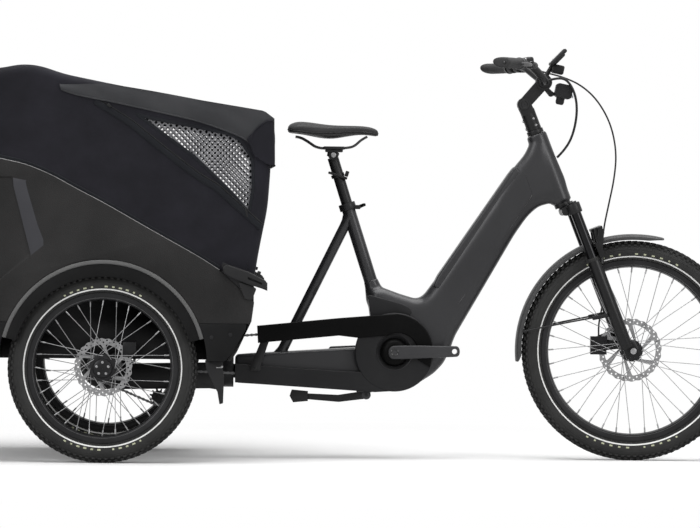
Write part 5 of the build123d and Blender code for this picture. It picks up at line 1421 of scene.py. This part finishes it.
def make_main_frame():
    outline = [(722, 300), (752, 340), (751, 405), (741, 466), (752, 486), (778, 490), (836, 469), (884, 455),
               (904, 466), (945, 523), (1141, 812), (1167, 844), (1187, 868), (1200, 895), (1209, 925),
               (1249, 929), (1283, 852), (1304, 804), (1321, 743), (1292, 730),
                 (1266, 733), (1228, 722), (1198, 694), (1163, 644), (994, 350), (981, 311), (963, 273),
                 (935, 243), (890, 214), (820, 204), (760, 214), (724, 250)]
    body = plate(rounded(outline, 12.0, 4), -FRAME_HALF, FRAME_HALF)
    apply_modifier(body, "REMESH", mode="VOXEL", voxel_size=0.004)
    domed(body, rounded(outline, 12.0, 1), 40.0, 0.3)
    root = lathe_line(at(772, 447), at(751, 512), [(0, 30), (14, 30), (30, 26), (46, 22.5), (64, 20.4)])
    head_tube = rod(on_steer(1), on_steer(209), 29.5, 64)
    body = join(body, root, head_tube)
    apply_modifier(body, "REMESH", mode="VOXEL", voxel_size=0.004)
    apply_modifier(body, "SMOOTH", factor=0.5, iterations=7)
    finish_piece(body, "frame_shell", "front_frame", M["frame"], 180, ("main_frame",))
    lid = [on_tube(TUBE_LOW, 8, 25.0), on_tube(TUBE_HIGH, -16, 24.0), on_tube(TUBE_HIGH, -13, -1.0),
           on_tube(TUBE_HIGH, -40, -3.2), on_tube(TUBE_LOW, 40, -2.0), on_tube(TUBE_LOW, 9, 3.0)]
    cover = cushioned(rounded(lid, 9.0, 4), -FRAME_HALF + 3.0, FRAME_HALF - 3.0, 8.0, 5, width_share)
    finish_piece(cover, "battery_lid", "front_frame", M["lid"], 35,
                 ("battery_cover", "battery"))
    seam = [on_tube(TUBE_LOW, 18, 31.0), on_tube(TUBE_LOW, 4, 92.0), on_tube(TUBE_HIGH, -52, 88.0),
            on_tube(TUBE_HIGH, -14, 31.0)]
    for side, name in ((-1, "right"), (1, "left")):
        shape = rounded(seam, 14.0, 4)
        line = [at(x, z, side * (FRAME_HALF * width_share(x) - 0.15)) for x, z in shape[7:-3]]
        finish_piece(tube(line, 0.6, 6), "frame_seam_" + name, "front_frame", M["gloss"], 40)
    foot_cover = [(750, 330), (752, 404), (744, 467), (768, 461), (836, 443), (864, 431), (870, 417),
                  (862, 404), (848, 390), (838, 330)]
    panel = cushioned(rounded(foot_cover, 9.0, 4), -FRAME_HALF - 2.4, -FRAME_HALF + 24, 2.4, 3)
    finish_piece(panel, "motor_side_cover", "front_frame", M["cover"], 40)
    post_top, post_low = (682.0, 723.0), (762.0, 476.0)
    seat_tube = rod(at(*post_top), at(765.0, 467.0), 19.0, 48, 0.8)
    finish_piece(seat_tube, "seat_tube", "front_frame", M["frame"], 35)
    ends = [rod(on_steer(z), on_steer(z + 14), 26.6, 64, 1.5) for z in (0.6, 195)]
    finish_piece(join(*ends), "head_tube_ends", "front_frame", M["frame"], 35)
    cups = [rod(on_steer(-12), on_steer(0.5), 24.0, 64, 1.2),
            rod(on_steer(209.5), on_steer(222), 24.0, 64, 1.2)]
    finish_piece(join(*cups), "head_cups", "front_frame", M["black"], 35)
    down = (Vector(post_low) - Vector(post_top)).normalized()
    a, b = Vector(post_top) - down * 3, Vector(post_top) + down * 17
    collar = rod(at(*a), at(*b), 24.0, 48, 2.0)
    hub = Vector(post_top) + down * 8 + Vector((32, 0))
    ears = [box_at((hub.x - 6, hub.y, side * 11.2), (20, 3.6, 12), 0, 1.0) for side in (-1, 1)]
    pin = rod(at(hub.x, hub.y, -14), at(hub.x, hub.y, 14), 3.2, 16, 0.5)
    finish_piece(join(collar, pin, *ears), "seat_collar", "front_frame", M["black"], 35)


def lathe_line(a, b, stations, sides=48):
    """Round body along a line from a to b; stations are (distance in mm, radius)."""
    a, b = Vector(a), Vector(b)
    turn = (b - a).to_track_quat("Z", "Y").to_matrix()
    rows = []
    for d, r in stations:
        rows.append([a + turn @ Vector((r * MM * math.cos(t), r * MM * math.sin(t), d * MM))
                     for t in (2 * math.pi * k / sides for k in range(sides))])
    return sheet_of(rows, closed=True, caps=True)


def make_rear_beams():
    beam = [(368, 212), (368, 291), (422, 296), (756, 318), (756, 192)]
    body = plate(beam, -38, 40, 11.0, 4)
    stay = rod(at(690, 688), at(497, 294), 14.5, 40)
    shaft = rod(at(304, 245), at(394, 245), 20.0, 48, 1.0)
    weld = lathe_line(at(494, 287), at(506, 312), [(0, 22), (10, 18.5), (20, 15.6), (28, 14.6)])
    top_weld = lathe_line(at(676, 659), at(692, 692), [(0, 14.6), (14, 15.4), (24, 18), (36, 21)])
    lug = box_at((736, 213, -30), (44, 28, 50), 0, 3.0)
    cheeks = [rod(at(742, 181, y0), at(742, 181, y1), 13.0, 32, 1.0) for y0,
              y1 in ((-44, -38.3), (-21.7, -16))]
    pin = rod(at(742, 181, -45), at(742, 181, -15), 5.0, 20, 0.6)
    joint = join(body, stay, weld, top_weld, lug, *cheeks)
    finish_piece(joint, "rear_beam_and_stay", "front_frame", M["frame"], 35, ("rear_beams",))
    finish_piece(join(shaft, pin), "lean_shaft_pin", "front_frame", M["black"], 35)
    clip = box_at((594, 478, -9), (26, 10, 14), 64, 1.5)
    finish_piece(clip, "cable_clip", "front_frame", M["plastic"], 35)


# ------------------------------------------------------------------ saddle and post
SADDLE = [(512, 58, 940, 929), (514, 66, 946, 927), (520, 73, 951, 925), (532, 78, 956, 924),
          (548, 79, 958, 923),
          (575, 73, 956, 920), (602, 62, 952, 918), (630, 48, 949, 919), (655, 36, 948, 921),
          (685, 27, 947.5, 923),
          (715, 22, 947, 924), (740, 20, 945, 922), (756, 17.5, 941, 919), (766, 13, 936, 918),
          (770, 7, 930, 919)]


def make_saddle():
    rows = []
    for x, w, top, low in SADDLE:
        ring = []
        for k in range(36):
            t = 2 * math.pi * k / 36
            c, s = math.cos(t), math.sin(t)
            y = w * math.copysign(abs(c) ** 0.75, c)
            if s >= 0:
                dip = 3.0 * math.exp(-(y / 9.0) ** 2) * max(0.0,
                                                            min(1.0,
                                                                (700 - x) / 60)) * (1 if x > 530 else 0.3)
                z = low + 6 + (top - low - 6) * s ** 0.55 - dip
            else:
                z = low + 6 - 6 * abs(s) ** 0.7
                y *= 0.97
            ring.append(at(x, z, y))
        rows.append(ring)
    skin = sheet_of(rows, closed=True, caps=True)
    apply_modifier(skin, "SUBSURF", levels=2)
    finish_piece(skin, "saddle_top", "seat", M["saddle"], 60, ("saddle_cushion",))
    piping = []
    for side in (-1, 1):
        piping.append(tube([at(x, low + 6.5, side * (w * 1.0 + 0.2)) for x, w, top, low in SADDLE], 1.1, 8))
    finish_piece(join(*piping), "saddle_piping", "seat", M["grip"], 60)
    rows = []
    for x, w, top, low in SADDLE[1:-1]:
        belly = 10.0 * math.exp(-((x - 640) / 55.0) ** 2) + 4.0
        ring = []
        for k in range(24):
            t = 2 * math.pi * k / 24
            y = (w - 4.0) * math.cos(t)
            z = low + 3 - belly * max(0.0, -math.sin(t)) ** 0.8 if math.sin(t) < 0 else low + 3.5
            ring.append(at(x, z, y))
        rows.append(ring)
    shell = sheet_of(rows, closed=True, caps=True)
    apply_modifier(shell, "SUBSURF", levels=1)
    finish_piece(shell, "saddle_under", "seat", M["saddle_base"], 60, ("saddle_shell",))
    rails = []
    for side in (-1, 1):
        path = [(534, 914, 24), (548, 913, 24), (572, 899, 23), (596, 882, 22), (640, 881.5, 22),
                (690, 884, 22),
                (706, 892, 21.5), (722, 908, 20), (738, 916, 18)]
        rails.append(tube([at(x, z, side * y) for x, z, y in path], 3.5, 12))
    finish_piece(join(*rails), "saddle_rails", "seat", M["rail"], 40)
    post_top, post_low = Vector((682.0, 723.0)), Vector((762.0, 476.0))
    down = (post_low - post_top).normalized()
    head = post_top - down * 140
    post = [rod(at(*(post_top + down * 120)), at(*(head + Vector((2, 0)))), 15.8, 48, 1.0)]
    post.append(lathe_line(at(*head), at(642, 868), [(0, 15.8), (8, 16.2), (13, 17.5), (18, 16)]))
    post.append(rod(at(642, 863, -20), at(642, 863, 20), 14.5, 32, 2.0))
    post.append(box_at((644, 883, 0), (62, 58, 9), 0, 3.0))
    post.append(box_at((644, 875, 0), (50, 52, 8), 0, 3.0))
    post.append(rod(at(*(post_top - down * 91)), at(*(post_top - down * 81)), 19.0, 48, 1.0))
    finish_piece(join(*post), "seat_post_body", "seat", M["black"], 35, ("seatpost",))
    bolts = [rod(at(642, 863, s * 19), at(642, 863, s * 24), 7.5, 24, 1.0) for s in (-1, 1)]
    finish_piece(join(*bolts), "saddle_bolts", "seat", M["disc"], 35)
    reflector = [box_at((p.x, p.y, 0), size, -18, 2.0) for p, size in
                 ((post_top - down * 86, (56, 46, 7)), (post_top - down * 86 + Vector((26, 5)),
                                                        (10, 30, 16)))]
    finish_piece(join(*reflector), "post_bracket", "seat", M["plastic"], 35)
    lever = softened("seat_lever", 1.0, 3)
    hub = post_top + down * 8 + Vector((32, 0))
    blade = cushioned(rounded([(hub.x - 3, hub.y - 5), (hub.x + 16, hub.y + 3), (hub.x + 21, hub.y + 9),
                               (hub.x + 15, hub.y + 12), (hub.x - 3, hub.y + 5)], 4, 3), -8, 8, 2.0, 3)
    finish_piece(join(lever, blade), "quick_lever", "seat_latch", M["black"], 35,
                 ("seat_lever",))


# ------------------------------------------------------------------ fork and front fender
LEG_AHEAD, LEG_HALF = 22.0, 66.0


def leg_rods(low, high, radius, sides, bevel=0.0):
    """A round on each fork leg, between two places up the steering axis."""
    return [rod(on_steer(low, LEG_AHEAD, s * LEG_HALF), on_steer(high, LEG_AHEAD, s * LEG_HALF),
                radius, sides, bevel) for s in (-1, 1)]


def make_fork():
    crown = leg_rods(-41, -11, 20.5, 40, 2.5)
    arch_rows = []
    for k in range(17):
        y = -LEG_HALF + 2 * LEG_HALF * k / 16
        rise = 6.0 * (1 - (y / LEG_HALF) ** 2)
        deep = 26 - 5 * (1 - (y / LEG_HALF) ** 2)
        ring = []
        for j in range(20):
            t = 2 * math.pi * j / 20
            a = 13 + 27 * math.copysign(abs(math.cos(t)) ** 0.6,
                                        math.cos(t)) * (1 if math.cos(t) < 0 else 0.85)
            u = -26 + rise * 0.5 + deep / 2 * math.copysign(abs(math.sin(t)) ** 0.6, math.sin(t))
            ring.append(on_steer(u, a, y))
        arch_rows.append(ring)
    crown.append(sheet_of(arch_rows, closed=True, caps=True))
    finish_piece(join(*crown), "fork_crown", "steering", M["black"], 40)
    finish_piece(join(*leg_rods(-330, -36, 15.0, 48)), "fork_tubes", "steering", M["stanchion"],
                 40, ("fork_upper",))
    steerer = rod(on_steer(-30), on_steer(268), 14.3, 40)
    finish_piece(steerer, "steerer", "steering", M["black"], 40)
    finish_piece(join(*leg_rods(-11, -6, 13.0, 32, 1.2)), "fork_top_caps", "steering", M["gloss"],
                 40)
    soften_node("fork_lowers", M["leg"], 2.2, 3)
    finish_piece(join(*leg_rods(-186, -176, 19.8, 40, 1.4)), "fork_seals", "fork_slider", M["rubber"],
                 40)
    soften_node("front_caliper", M["hub"], 2.0, 3)
    cap = [rod(at(1500, FRONT.z / MM, s * 70), at(1500, FRONT.z / MM, s * 76.5), 9.0, 24, 1.4) for s in (-1,
                                                                                                         1)]
    finish_piece(join(*cap), "front_axle_caps", "fork_slider", M["disc"], 35)


def make_front_fender():
    """Curved guard: a crowned top with turned-down sides, cut square at both ends."""
    rows = []
    a0, a1 = math.radians(74.5), math.radians(186)
    steps = 72
    for k in range(steps + 1):
        t = k / steps
        a = a0 + (a1 - a0) * t
        c = Vector((math.cos(a), 0, math.sin(a)))
        flare = 2.0 * max(0.0, 1 - t / 0.12)
        skirt = 15.0 * min(1.0, 0.35 + t / 0.1, 0.35 + (1 - t) / 0.04)
        section = [(333.0 - skirt - 2, 35.5), (333.0 - skirt * 0.55, 35.6), (326.5, 33.8), (330.3, 29.5),
                   (332.2, 22), (332.9, 11), (333.0, 0)]
        section = section + [(r, -y) for r, y in reversed(section[:-1])]
        rows.append([FRONT + c * (r + flare) * MM + Vector((0, y * MM, 0)) for r, y in section])
    guard = sheet_of(rows)
    apply_modifier(guard, "SOLIDIFY", thickness=2.0 * MM, offset=-1.0)
    apply_modifier(guard, "SUBSURF", levels=1)
    bridge = box_at((0, 0, 0), (1, 1, 1), 0, 0)
    bridge.data.transform(Matrix.Translation(on_steer(-128.4, 70) - at(0, 0)) @
                          Matrix.Translation(at(0, 0)) @ Matrix.Rotation(-HEAD_ANGLE, 4, "Y") @
                          Matrix.Diagonal((12, 24, 10, 1)) @ Matrix.Translation(-at(0, 0)))
    apply_modifier(bridge, "BEVEL", width=1.5 * MM, segments=2)
    finish_piece(join(guard, bridge), "front_guard", "fork_slider", M["fender_dark"], 40,
                 ("front_fender",))
    stays = []
    for s in (-1, 1):
        path = [(1187.5, 366, s * 38.2), (1210, 371, s * 43), (1300, 391, s * 60), (1380, 407, s * 70),
                (1425.5, 415.6, s * 75)]
        stays.append(tube([at(x, z, y) for x, z, y in path], 2.6, 10))
    finish_piece(join(*stays), "guard_stays", "fork_slider", M["plastic"], 40)
    sockets = []
    for s in (-1, 1):
        sockets.append(box_at((1404, 411, s * 74.0), (46, 9, 12), 12, 3.0))
        sockets.append(rod(at(1192, 367, s * 36.5), at(1192, 367, s * 41.5), 4.5, 16, 1.0))
    finish_piece(join(*sockets), "stay_sockets", "fork_slider", M["plastic"], 40)
    hook = []
    for s in (-1, 1):
        rows = []
        for k in range(7):
            t = k / 6
            a = on_steer(-200 + 96 * t, 40 + 22 * t, s * (60 - 20 * t))
            half = 8.5 + 3.5 * t
            ring = [a + Vector((half * MM * math.cos(u), 6.0 * MM * math.sin(u), 0)) for u in
                    (2 * math.pi * j / 16 for j in range(16))]
            rows.append(ring)
        hook.append(sheet_of(rows, closed=True, caps=True))
    top = box_at((0, 0, 0), (1, 1, 1), 0, 0)
    top.data.transform(Matrix.Translation(on_steer(-104, 64)) @ Matrix.Rotation(-HEAD_ANGLE, 4, "Y") @
                       Matrix.Diagonal((34, 84, 9, 1)) @ Matrix.Translation(-at(0, 0)))
    apply_modifier(top, "BEVEL", width=3.0 * MM, segments=3)
    finish_piece(join(top, *hook), "fork_arch", "fork_slider", M["leg"], 40)


# ------------------------------------------------------------------ bars
GRIP_A, GRIP_B = Vector((1196.0, 128.0, 1123.5)), Vector((1110.0, 335.0, 1123.0))
GRIP_RUN = (GRIP_B - GRIP_A).normalized()
GRIP_OUT = Vector((GRIP_RUN.y, -GRIP_RUN.x, 0))


def grip_point(t, up=0.0, ahead=0.0, side=1):
    p = GRIP_A + (GRIP_B - GRIP_A) * t + GRIP_OUT * ahead + Vector((0, 0, up))
    return at(p.x, p.z, side * p.y)


def make_bar():
    path = [(1241, 1077, 0), (1241, 1077, 38), (1240, 1080, 58), (1236, 1086, 72), (1214, 1106, 104),
            (1198, 1121, 123), (1190, 1123.5, 142), (1150, 1123.3, 238), (1111, 1123, 333)]
    line = [at(x, z, -y) for x, z, y in reversed(path[1:])] + [at(x, z, y) for x, z, y in path]
    bar = tube(line, 11.1, 24)
    centre = rod(at(1241, 1077, -27), at(1241, 1077, 27), 15.9, 40, 1.5)
    finish_piece(join(bar, centre), "bar_tube", "bars", M["black"], 40, ("handlebar",))
    grips = []
    for side in (-1, 1):
        rows = []
        count = 44
        for k in range(count + 1):
            t = 0.45 + 0.57 * k / count
            s = k / count
            wing = max(0.0, (s - 0.35) / 0.65) ** 1.6 * 25.0
            flare = 2.2 if s < 0.05 else 0.0
            rib = 0.5 * math.sin(k * 2.2) if 0.1 < s < 0.6 else 0.0
            ring = []
            for j in range(28):
                u = 2 * math.pi * j / 28
                back = max(0.0, -math.cos(u))
                a = (15.2 + flare + rib) * math.cos(u) - wing * back ** 0.5
                z = (15.2 + flare + rib) * math.sin(u) + wing * 0.12 * back
                end = 1 - 0.12 * max(0.0, (s - 0.93) / 0.07)
                ring.append(grip_point(t, z * end, a * end, side))
            rows.append(ring)
        grip = sheet_of(rows, closed=True, caps=True)
        apply_modifier(grip, "SUBSURF", levels=1)
        grips.append(grip)
    finish_piece(join(*grips), "grips", "bars", M["grip"], 50)
    ends = []
    for side in (-1, 1):
        ends.append(rod(grip_point(1.0, 0, 0, side), grip_point(1.027, 0, 0, side), 5.0, 6, 0.5))
        ends.append(rod(grip_point(0.44, 0, 0, side), grip_point(0.475, 0, 0, side), 17.6, 36, 1.2))
    finish_piece(join(*ends), "grip_rings", "bars", M["gloss"], 40)


def make_controls():
    parts, bright = [], []
    for side in (-1, 1):
        parts.append(rod(grip_point(0.31, 0, 0, side), grip_point(0.42, 0, 0, side), 16.0, 36, 1.5))
        parts.append(lathe_line(grip_point(0.20, -4, 27, side), grip_point(0.44, -4, 35, side),
                                [(0, 7), (2, 9.2), (14, 10), (36, 10), (46, 9), (52, 7)], 28))
        parts.append(rod(grip_point(0.365, 0, 12, side), grip_point(0.365, -3, 27, side), 8.2, 24, 1.0))
        for up in (3.4, -11.4):
            p = grip_point(0.45, up, 34, side)
            parts.append(rod(p - Vector((0, 0, 1.6 * MM)), p + Vector((0, 0, 1.6 * MM)), 8.6, 28, 0.8))
        bright.append(rod(grip_point(0.45, -13.5, 34, side), grip_point(0.45, 6.5, 34, side), 3.0, 16, 0.8))
        bright.append(rod(grip_point(0.33, 10, 9, side), grip_point(0.33, 17.4, 9, side), 3.0, 6, 0.5))
        bright.append(rod(grip_point(0.20, -4, 27, side), grip_point(0.17, -4, 26, side), 4.4, 6, 0.5))
    clamp = rod(at(1241, 1077, 29), at(1241, 1077, 45), 17.4, 36, 2.0)
    post = lathe_line(at(1247, 1091, 37), at(1277, 1143, 34), [(0, 9), (8, 6.5), (40, 6), (58, 9)], 24)
    screen = box_at((1282, 1149, 20), (62, 84, 11), 45.8, 4.5)
    back = box_at((1285, 1146, 20), (40, 50, 12), 45.8, 4.0)
    low_box = box_at((1283, 1115, 26), (34, 40, 26), -12, 5.0)
    parts += [clamp, post, screen, back, low_box]
    parts.append(rod(grip_point(0.12), grip_point(0.24), 15.0, 36, 1.5))
    parts.append(lathe_line(grip_point(0.18, 6, 2), grip_point(0.18, 20, 10),
                            [(0, 13), (10, 12.6), (14, 11.6), (16.1, 9.5)], 28))
    parts.append(box_at((1181, 1131, -150), (36, 34, 24), 10, 6.0, 22))
    finish_piece(join(*parts), "bar_fittings", "bars", M["plastic"], 40, ("bar_controls",))
    finish_piece(join(*bright), "bar_screws", "bars", M["spoke"], 35)
    glass = box_at((1278.0, 1153.0, 20), (54, 76, 1.6), 45.8, 0.6)
    finish_piece(glass, "display_glass", "bars", M["screen"], 35)
    top = GRIP_A + (GRIP_B - GRIP_A) * 0.18 + GRIP_OUT * 10 + Vector((0, 0, 20))
    base = GRIP_A + (GRIP_B - GRIP_A) * 0.18 + GRIP_OUT * 4 + Vector((0, 0, 10))
    way = (top - base).normalized()
    a, b = top + way * 2.3, top + way * 6
    stem = rod(at((top - way * 4).x, (top - way * 4).z, (top - way * 4).y),
               at((top + way * 3).x, (top + way * 3).z, (top + way * 3).y), 2.3, 16)
    cap = lathe_line(at(a.x, a.z, a.y), at(b.x, b.z, b.y), [(0, 7), (2.6, 7), (3.5, 6), (4.0, 3.5)], 28)
    finish_piece(join(stem, cap), "horn_cap", "button", M["red"], 50, ("horn_button",))
    for side, name in ((1, "left"), (-1, "right")):
        rows = []
        centre = [(0.463, -4, 35), (0.50, -4, 38.5), (0.56, -4, 43), (0.62, -4, 46), (0.72, -4, 47),
                  (0.82, -4, 46),
                  (0.90, -4, 44.5), (0.94, -4, 45)]
        line = [Vector(grip_point(*c, side)) for c in centre]
        for i, p in enumerate(line):
            run = (line[min(i + 1, len(line) - 1)] - line[max(i - 1, 0)]).normalized()
            n = Vector((run.y, -run.x, 0))
            wide = (5.5, 5.2, 5.0, 5.0, 5.2, 5.6, 6.0, 5.0)[i]
            tall = (5.0, 6.0, 6.5, 7.0, 7.4, 7.6, 7.2, 5.0)[i]
            rows.append([p + n * wide * 0.75 * MM * math.cos(u) + Vector((0, 0,
                                                                          tall * 0.8 * MM * math.sin(u)))
                         for u in (2 * math.pi * j / 18 for j in range(18))])
        blade = sheet_of(rows, closed=True, caps=True)
        apply_modifier(blade, "SUBSURF", levels=1)
        hub_p = grip_point(0.45, -4, 34, side)
        hub = rod(hub_p - Vector((0, 0, 5 * MM)), hub_p + Vector((0, 0, 5 * MM)), 7.5, 28, 0.8)
        finish_piece(join(blade, hub), "lever_blade_" + name, "lever_" + name, M["lever"],
                     50,
                     ("brake_lever_" + name,))


def make_stem_and_lamp():
    soften_node("stem_lower", M["black"], 2.0, 3)
    soften_node("stem_upper", M["black"], 2.5, 3)
    rings = []
    for side in (-1, 1):
        rings.append(lathe([(0.5, side * 21), (15, side * 21), (15.5, side * 22), (15, side * 23.0),
                            (9.5, side * 23.4),
                            (8.5, side * 22.0), (0.5, side * 22.0)], at(1185, 1013), 40))
    finish_piece(join(*rings), "stem_pivot_caps", "steering", M["gloss"], 35)
    bolts = [rod(on_steer(d, -19, 0), on_steer(d, -24, 0), 4.2, 16, 0.8) for d in (232, 256)]
    bolts += [rod(on_steer(d, 8, side * 17), on_steer(d, 8, side * 21.5), 3.4, 12, 0.6)
              for d in (234, 254) for side in (-1, 1)]
    finish_piece(join(*bolts), "stem_bolts", "steering", M["spoke"], 35)
    plate_bolts = [rod(at(1241 + dx, 1077 + dz, s * 20), at(1241 + dx, 1077 + dz, s * 25.5), 5.0, 16, 1.0)
                   for s in (-1, 1) for dx, dz in ((0, 0),)]
    finish_piece(join(*plate_bolts), "bar_clamp_bolts", "bars", M["disc"], 35)
    lamp = softened("headlight", 2.5, 3)
    fins = [box_at((1286 + 7 * k, 1071.5 - 1.4 * k, 0), (3, 44, 5), 11.5, 0.8) for k in range(4)]
    foot = lathe_line(at(1290, 1034, 0), at(1286, 1014, 0),
                      [(0, 13), (6, 12), (12, 12.5), (18, 11), (20.4, 8)], 24)
    finish_piece(join(lamp, foot, *fins), "headlight_body", "lamp", M["plastic"], 40,
                 ("headlight",))
    lens = box_at((1321.2, 1047.2, 0), (3.6, 46, 31), 11.5, 1.6)
    finish_piece(lens, "headlight_lens", "lamp", M["glass"], 40)


# ------------------------------------------------------------------ hoses
HOSE = [(1200.8, 194.8, 1119.4), (1211, 170, 1119), (1231, 141, 1115), (1264, 119, 1106), (1309, 108, 1094),
        (1358, 108, 1072), (1405, 110, 1030), (1444, 110, 962), (1461, 108, 880), (1455, 106, 805),
        (1440, 104, 733), (1424, 102, 655), (1421, 100, 580), (1426, 98, 505), (1424, 94, 442),
        (1415, 81, 402),
        (1410, 58, 375), (1410, 46, 353.8)]
CABLES = [(1251.4, -38, 1081.9), (1279, -38, 1090), (1306, -38, 1084), (1328, -37, 1048), (1336, -32, 998),
          (1328, -23, 938), (1308, -12, 890), (1281.5, -3, 863)]


def curve_cord(name, points, diameter, node):
    curve = bpy.data.curves.new(name, "CURVE")
    curve.dimensions = "3D"
    spline = curve.splines.new("NURBS")
    spline.points.add(len(points) - 1)
    for sp, (x, y, z) in zip(spline.points, points):
        sp.co = (*at(x, z, y), 1)
    spline.order_u = 3
    spline.use_endpoint_u = True
    spline.resolution_u = 10
    curve.bevel_depth = diameter / 2 * MM
    curve.bevel_resolution = 4
    curve.use_fill_caps = True
    obj = bpy.data.objects.new(name, curve)
    bpy.context.scene.collection.objects.link(obj)
    curve.materials.append(M["cord"])
    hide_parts(node)
    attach(obj, "steering")
    return obj


def make_hoses():
    hose = curve_cord("front_brake_hose", HOSE, 5.0, "brake_hose")
    bundle = curve_cord("control_cables", CABLES, 7.0, "cable_bundle")
    gland = [lathe_line(at(1424, 452, 95), at(1424, 436, 93.5), [(0, 3.4), (4, 4.4), (12, 4.4), (16, 3.4)],
                        20)]
    finish_piece(join(*gland), "hose_sleeve", "steering", M["plastic"], 40)


# ------------------------------------------------------------------ assembly
make_wheels()
make_box()
make_hood()
make_visor()
make_bench()
make_chain()
make_drive_covers()
make_cranks()
make_main_frame()
make_rear_beams()
make_saddle()
make_fork()
make_front_fender()
make_bar()
make_controls()
make_stem_and_lamp()
make_hoses()
for node, finish, slot, width in (
        ("rear_subframe", "black", "black_paint", 2.0), ("axle_housing", "housing", "housing_paint", 2.0),
        ("rear_calipers", "hub", "hub_black", 2.5), ("tensioner_arm", "black", "black_paint", 1.0),
        ("tension_pulley", "plastic", "plastic_black", 0.4),
                                  ("guide_roller", "plastic", "plastic_black", 0.8),
        ("rear_sprocket", "chain", "chain_steel", 0.4), ("motor", "housing", "motor_alloy", 1.5),
        ("kickstand", "leg", "black_paint", 2.0)):
    soften_node(node, M[finish], width, 2)

# ------------------------------------------------------------------ camera, floor and light
CAMERA_PLACE = at(302.8, 735.0, -13700.0)
LOOK_AT = at(693.1, 552.7)
LENS, ROLL = 247.0, math.radians(0.6)

camera_data = bpy.data.cameras.new("camera")
camera_data.lens = LENS
camera_data.sensor_width = 36.0
camera_data.clip_end = 200.0
camera = bpy.data.objects.new("camera", camera_data)
bpy.context.scene.collection.objects.link(camera)
camera.location = CAMERA_PLACE
aim = (LOOK_AT - CAMERA_PLACE).to_track_quat("-Z", "Y")
camera.rotation_euler = (aim.to_matrix() @ Matrix.Rotation(ROLL, 3, "Z")).to_euler()
bpy.context.scene.camera = camera
bpy.context.scene.view_settings.view_transform = "Standard"


def seen_rays(nodes, links):
    """1 for rays that come from the camera, a mirror or a lens."""
    paths = nodes.new("ShaderNodeLightPath")
    total = paths.outputs["Is Camera Ray"]
    for ray in ("Is Glossy Ray", "Is Transmission Ray"):
        add = nodes.new("ShaderNodeMath")
        add.operation = "MAXIMUM"
        links.new(total, add.inputs[0])
        links.new(paths.outputs[ray], add.inputs[1])
        total = add.outputs["Value"]
    return total


def make_world():
    world = bpy.data.worlds.new("studio")
    bpy.context.scene.world = world
    world.use_nodes = True
    nodes, links = world.node_tree.nodes, world.node_tree.links
    back = nodes["Background"]
    lit = nodes.new("ShaderNodeBackground")
    lit.inputs["Color"].default_value = (1, 1, 1, 1)
    lit.inputs["Strength"].default_value = 0.5
    back.inputs["Color"].default_value = (1, 1, 1, 1)
    back.inputs["Strength"].default_value = 1.0
    mix = nodes.new("ShaderNodeMixShader")
    links.new(seen_rays(nodes, links), mix.inputs["Fac"])
    links.new(lit.outputs["Background"], mix.inputs[1])
    links.new(back.outputs["Background"], mix.inputs[2])
    links.new(mix.outputs["Shader"], nodes["World Output"].inputs["Surface"])


def make_floor():
    deselect()
    bpy.ops.mesh.primitive_plane_add(size=400.0, location=(0, 0, 0))
    floor = bpy.context.object
    floor.name = "floor"
    m = bpy.data.materials.new("pale floor")
    m.use_nodes = True
    nodes, links = m.node_tree.nodes, m.node_tree.links
    nodes.remove(nodes["Principled BSDF"])
    paint = nodes.new("ShaderNodeBsdfDiffuse")
    paint.inputs["Color"].default_value = (0.7, 0.7, 0.7, 1)
    coords = nodes.new("ShaderNodeTexCoord")
    reach = nodes.new("ShaderNodeVectorMath")
    reach.operation = "LENGTH"
    links.new(coords.outputs["Object"], reach.inputs[0])
    share = nodes.new("ShaderNodeMapRange")
    share.interpolation_type = "SMOOTHSTEP"
    for key, value in (("From Min", 1.15), ("From Max", 2.3), ("To Min", 0.04), ("To Max", 1.0)):
        share.inputs[key].default_value = value
    links.new(reach.outputs["Value"], share.inputs["Value"])
    glow = nodes.new("ShaderNodeEmission")
    glow.inputs["Strength"].default_value = 1.0
    keep = nodes.new("ShaderNodeMath")
    keep.operation = "MULTIPLY"
    links.new(share.outputs["Result"], keep.inputs[1])
    links.new(seen_rays(nodes, links), keep.inputs[0])
    mix = nodes.new("ShaderNodeMixShader")
    links.new(keep.outputs["Value"], mix.inputs["Fac"])
    links.new(paint.outputs["BSDF"], mix.inputs[1])
    links.new(glow.outputs["Emission"], mix.inputs[2])
    links.new(mix.outputs["Shader"], nodes["Material Output"].inputs["Surface"])
    floor.data.materials.append(m)


def area_light(name, place, target, size, power):
    data = bpy.data.lights.new(name, "AREA")
    data.shape = "RECTANGLE"
    data.size, data.size_y = size
    data.energy = power
    light = bpy.data.objects.new(name, data)
    bpy.context.scene.collection.objects.link(light)
    light.location = place
    light.rotation_euler = (Vector(target) - Vector(place)).to_track_quat("-Z", "Y").to_euler()


make_world()
make_floor()
area_light("overhead", (0.2, -0.4, 4.2), (0, 0, 0.5), (5.0, 3.0), 265)
area_light("front_left", (-3.5, -4.0, 2.6), (0, 0, 0.6), (2.5, 2.5), 110)
area_light("front_right", (3.8, -3.6, 2.4), (0, 0, 0.5), (2.0, 2.5), 90)
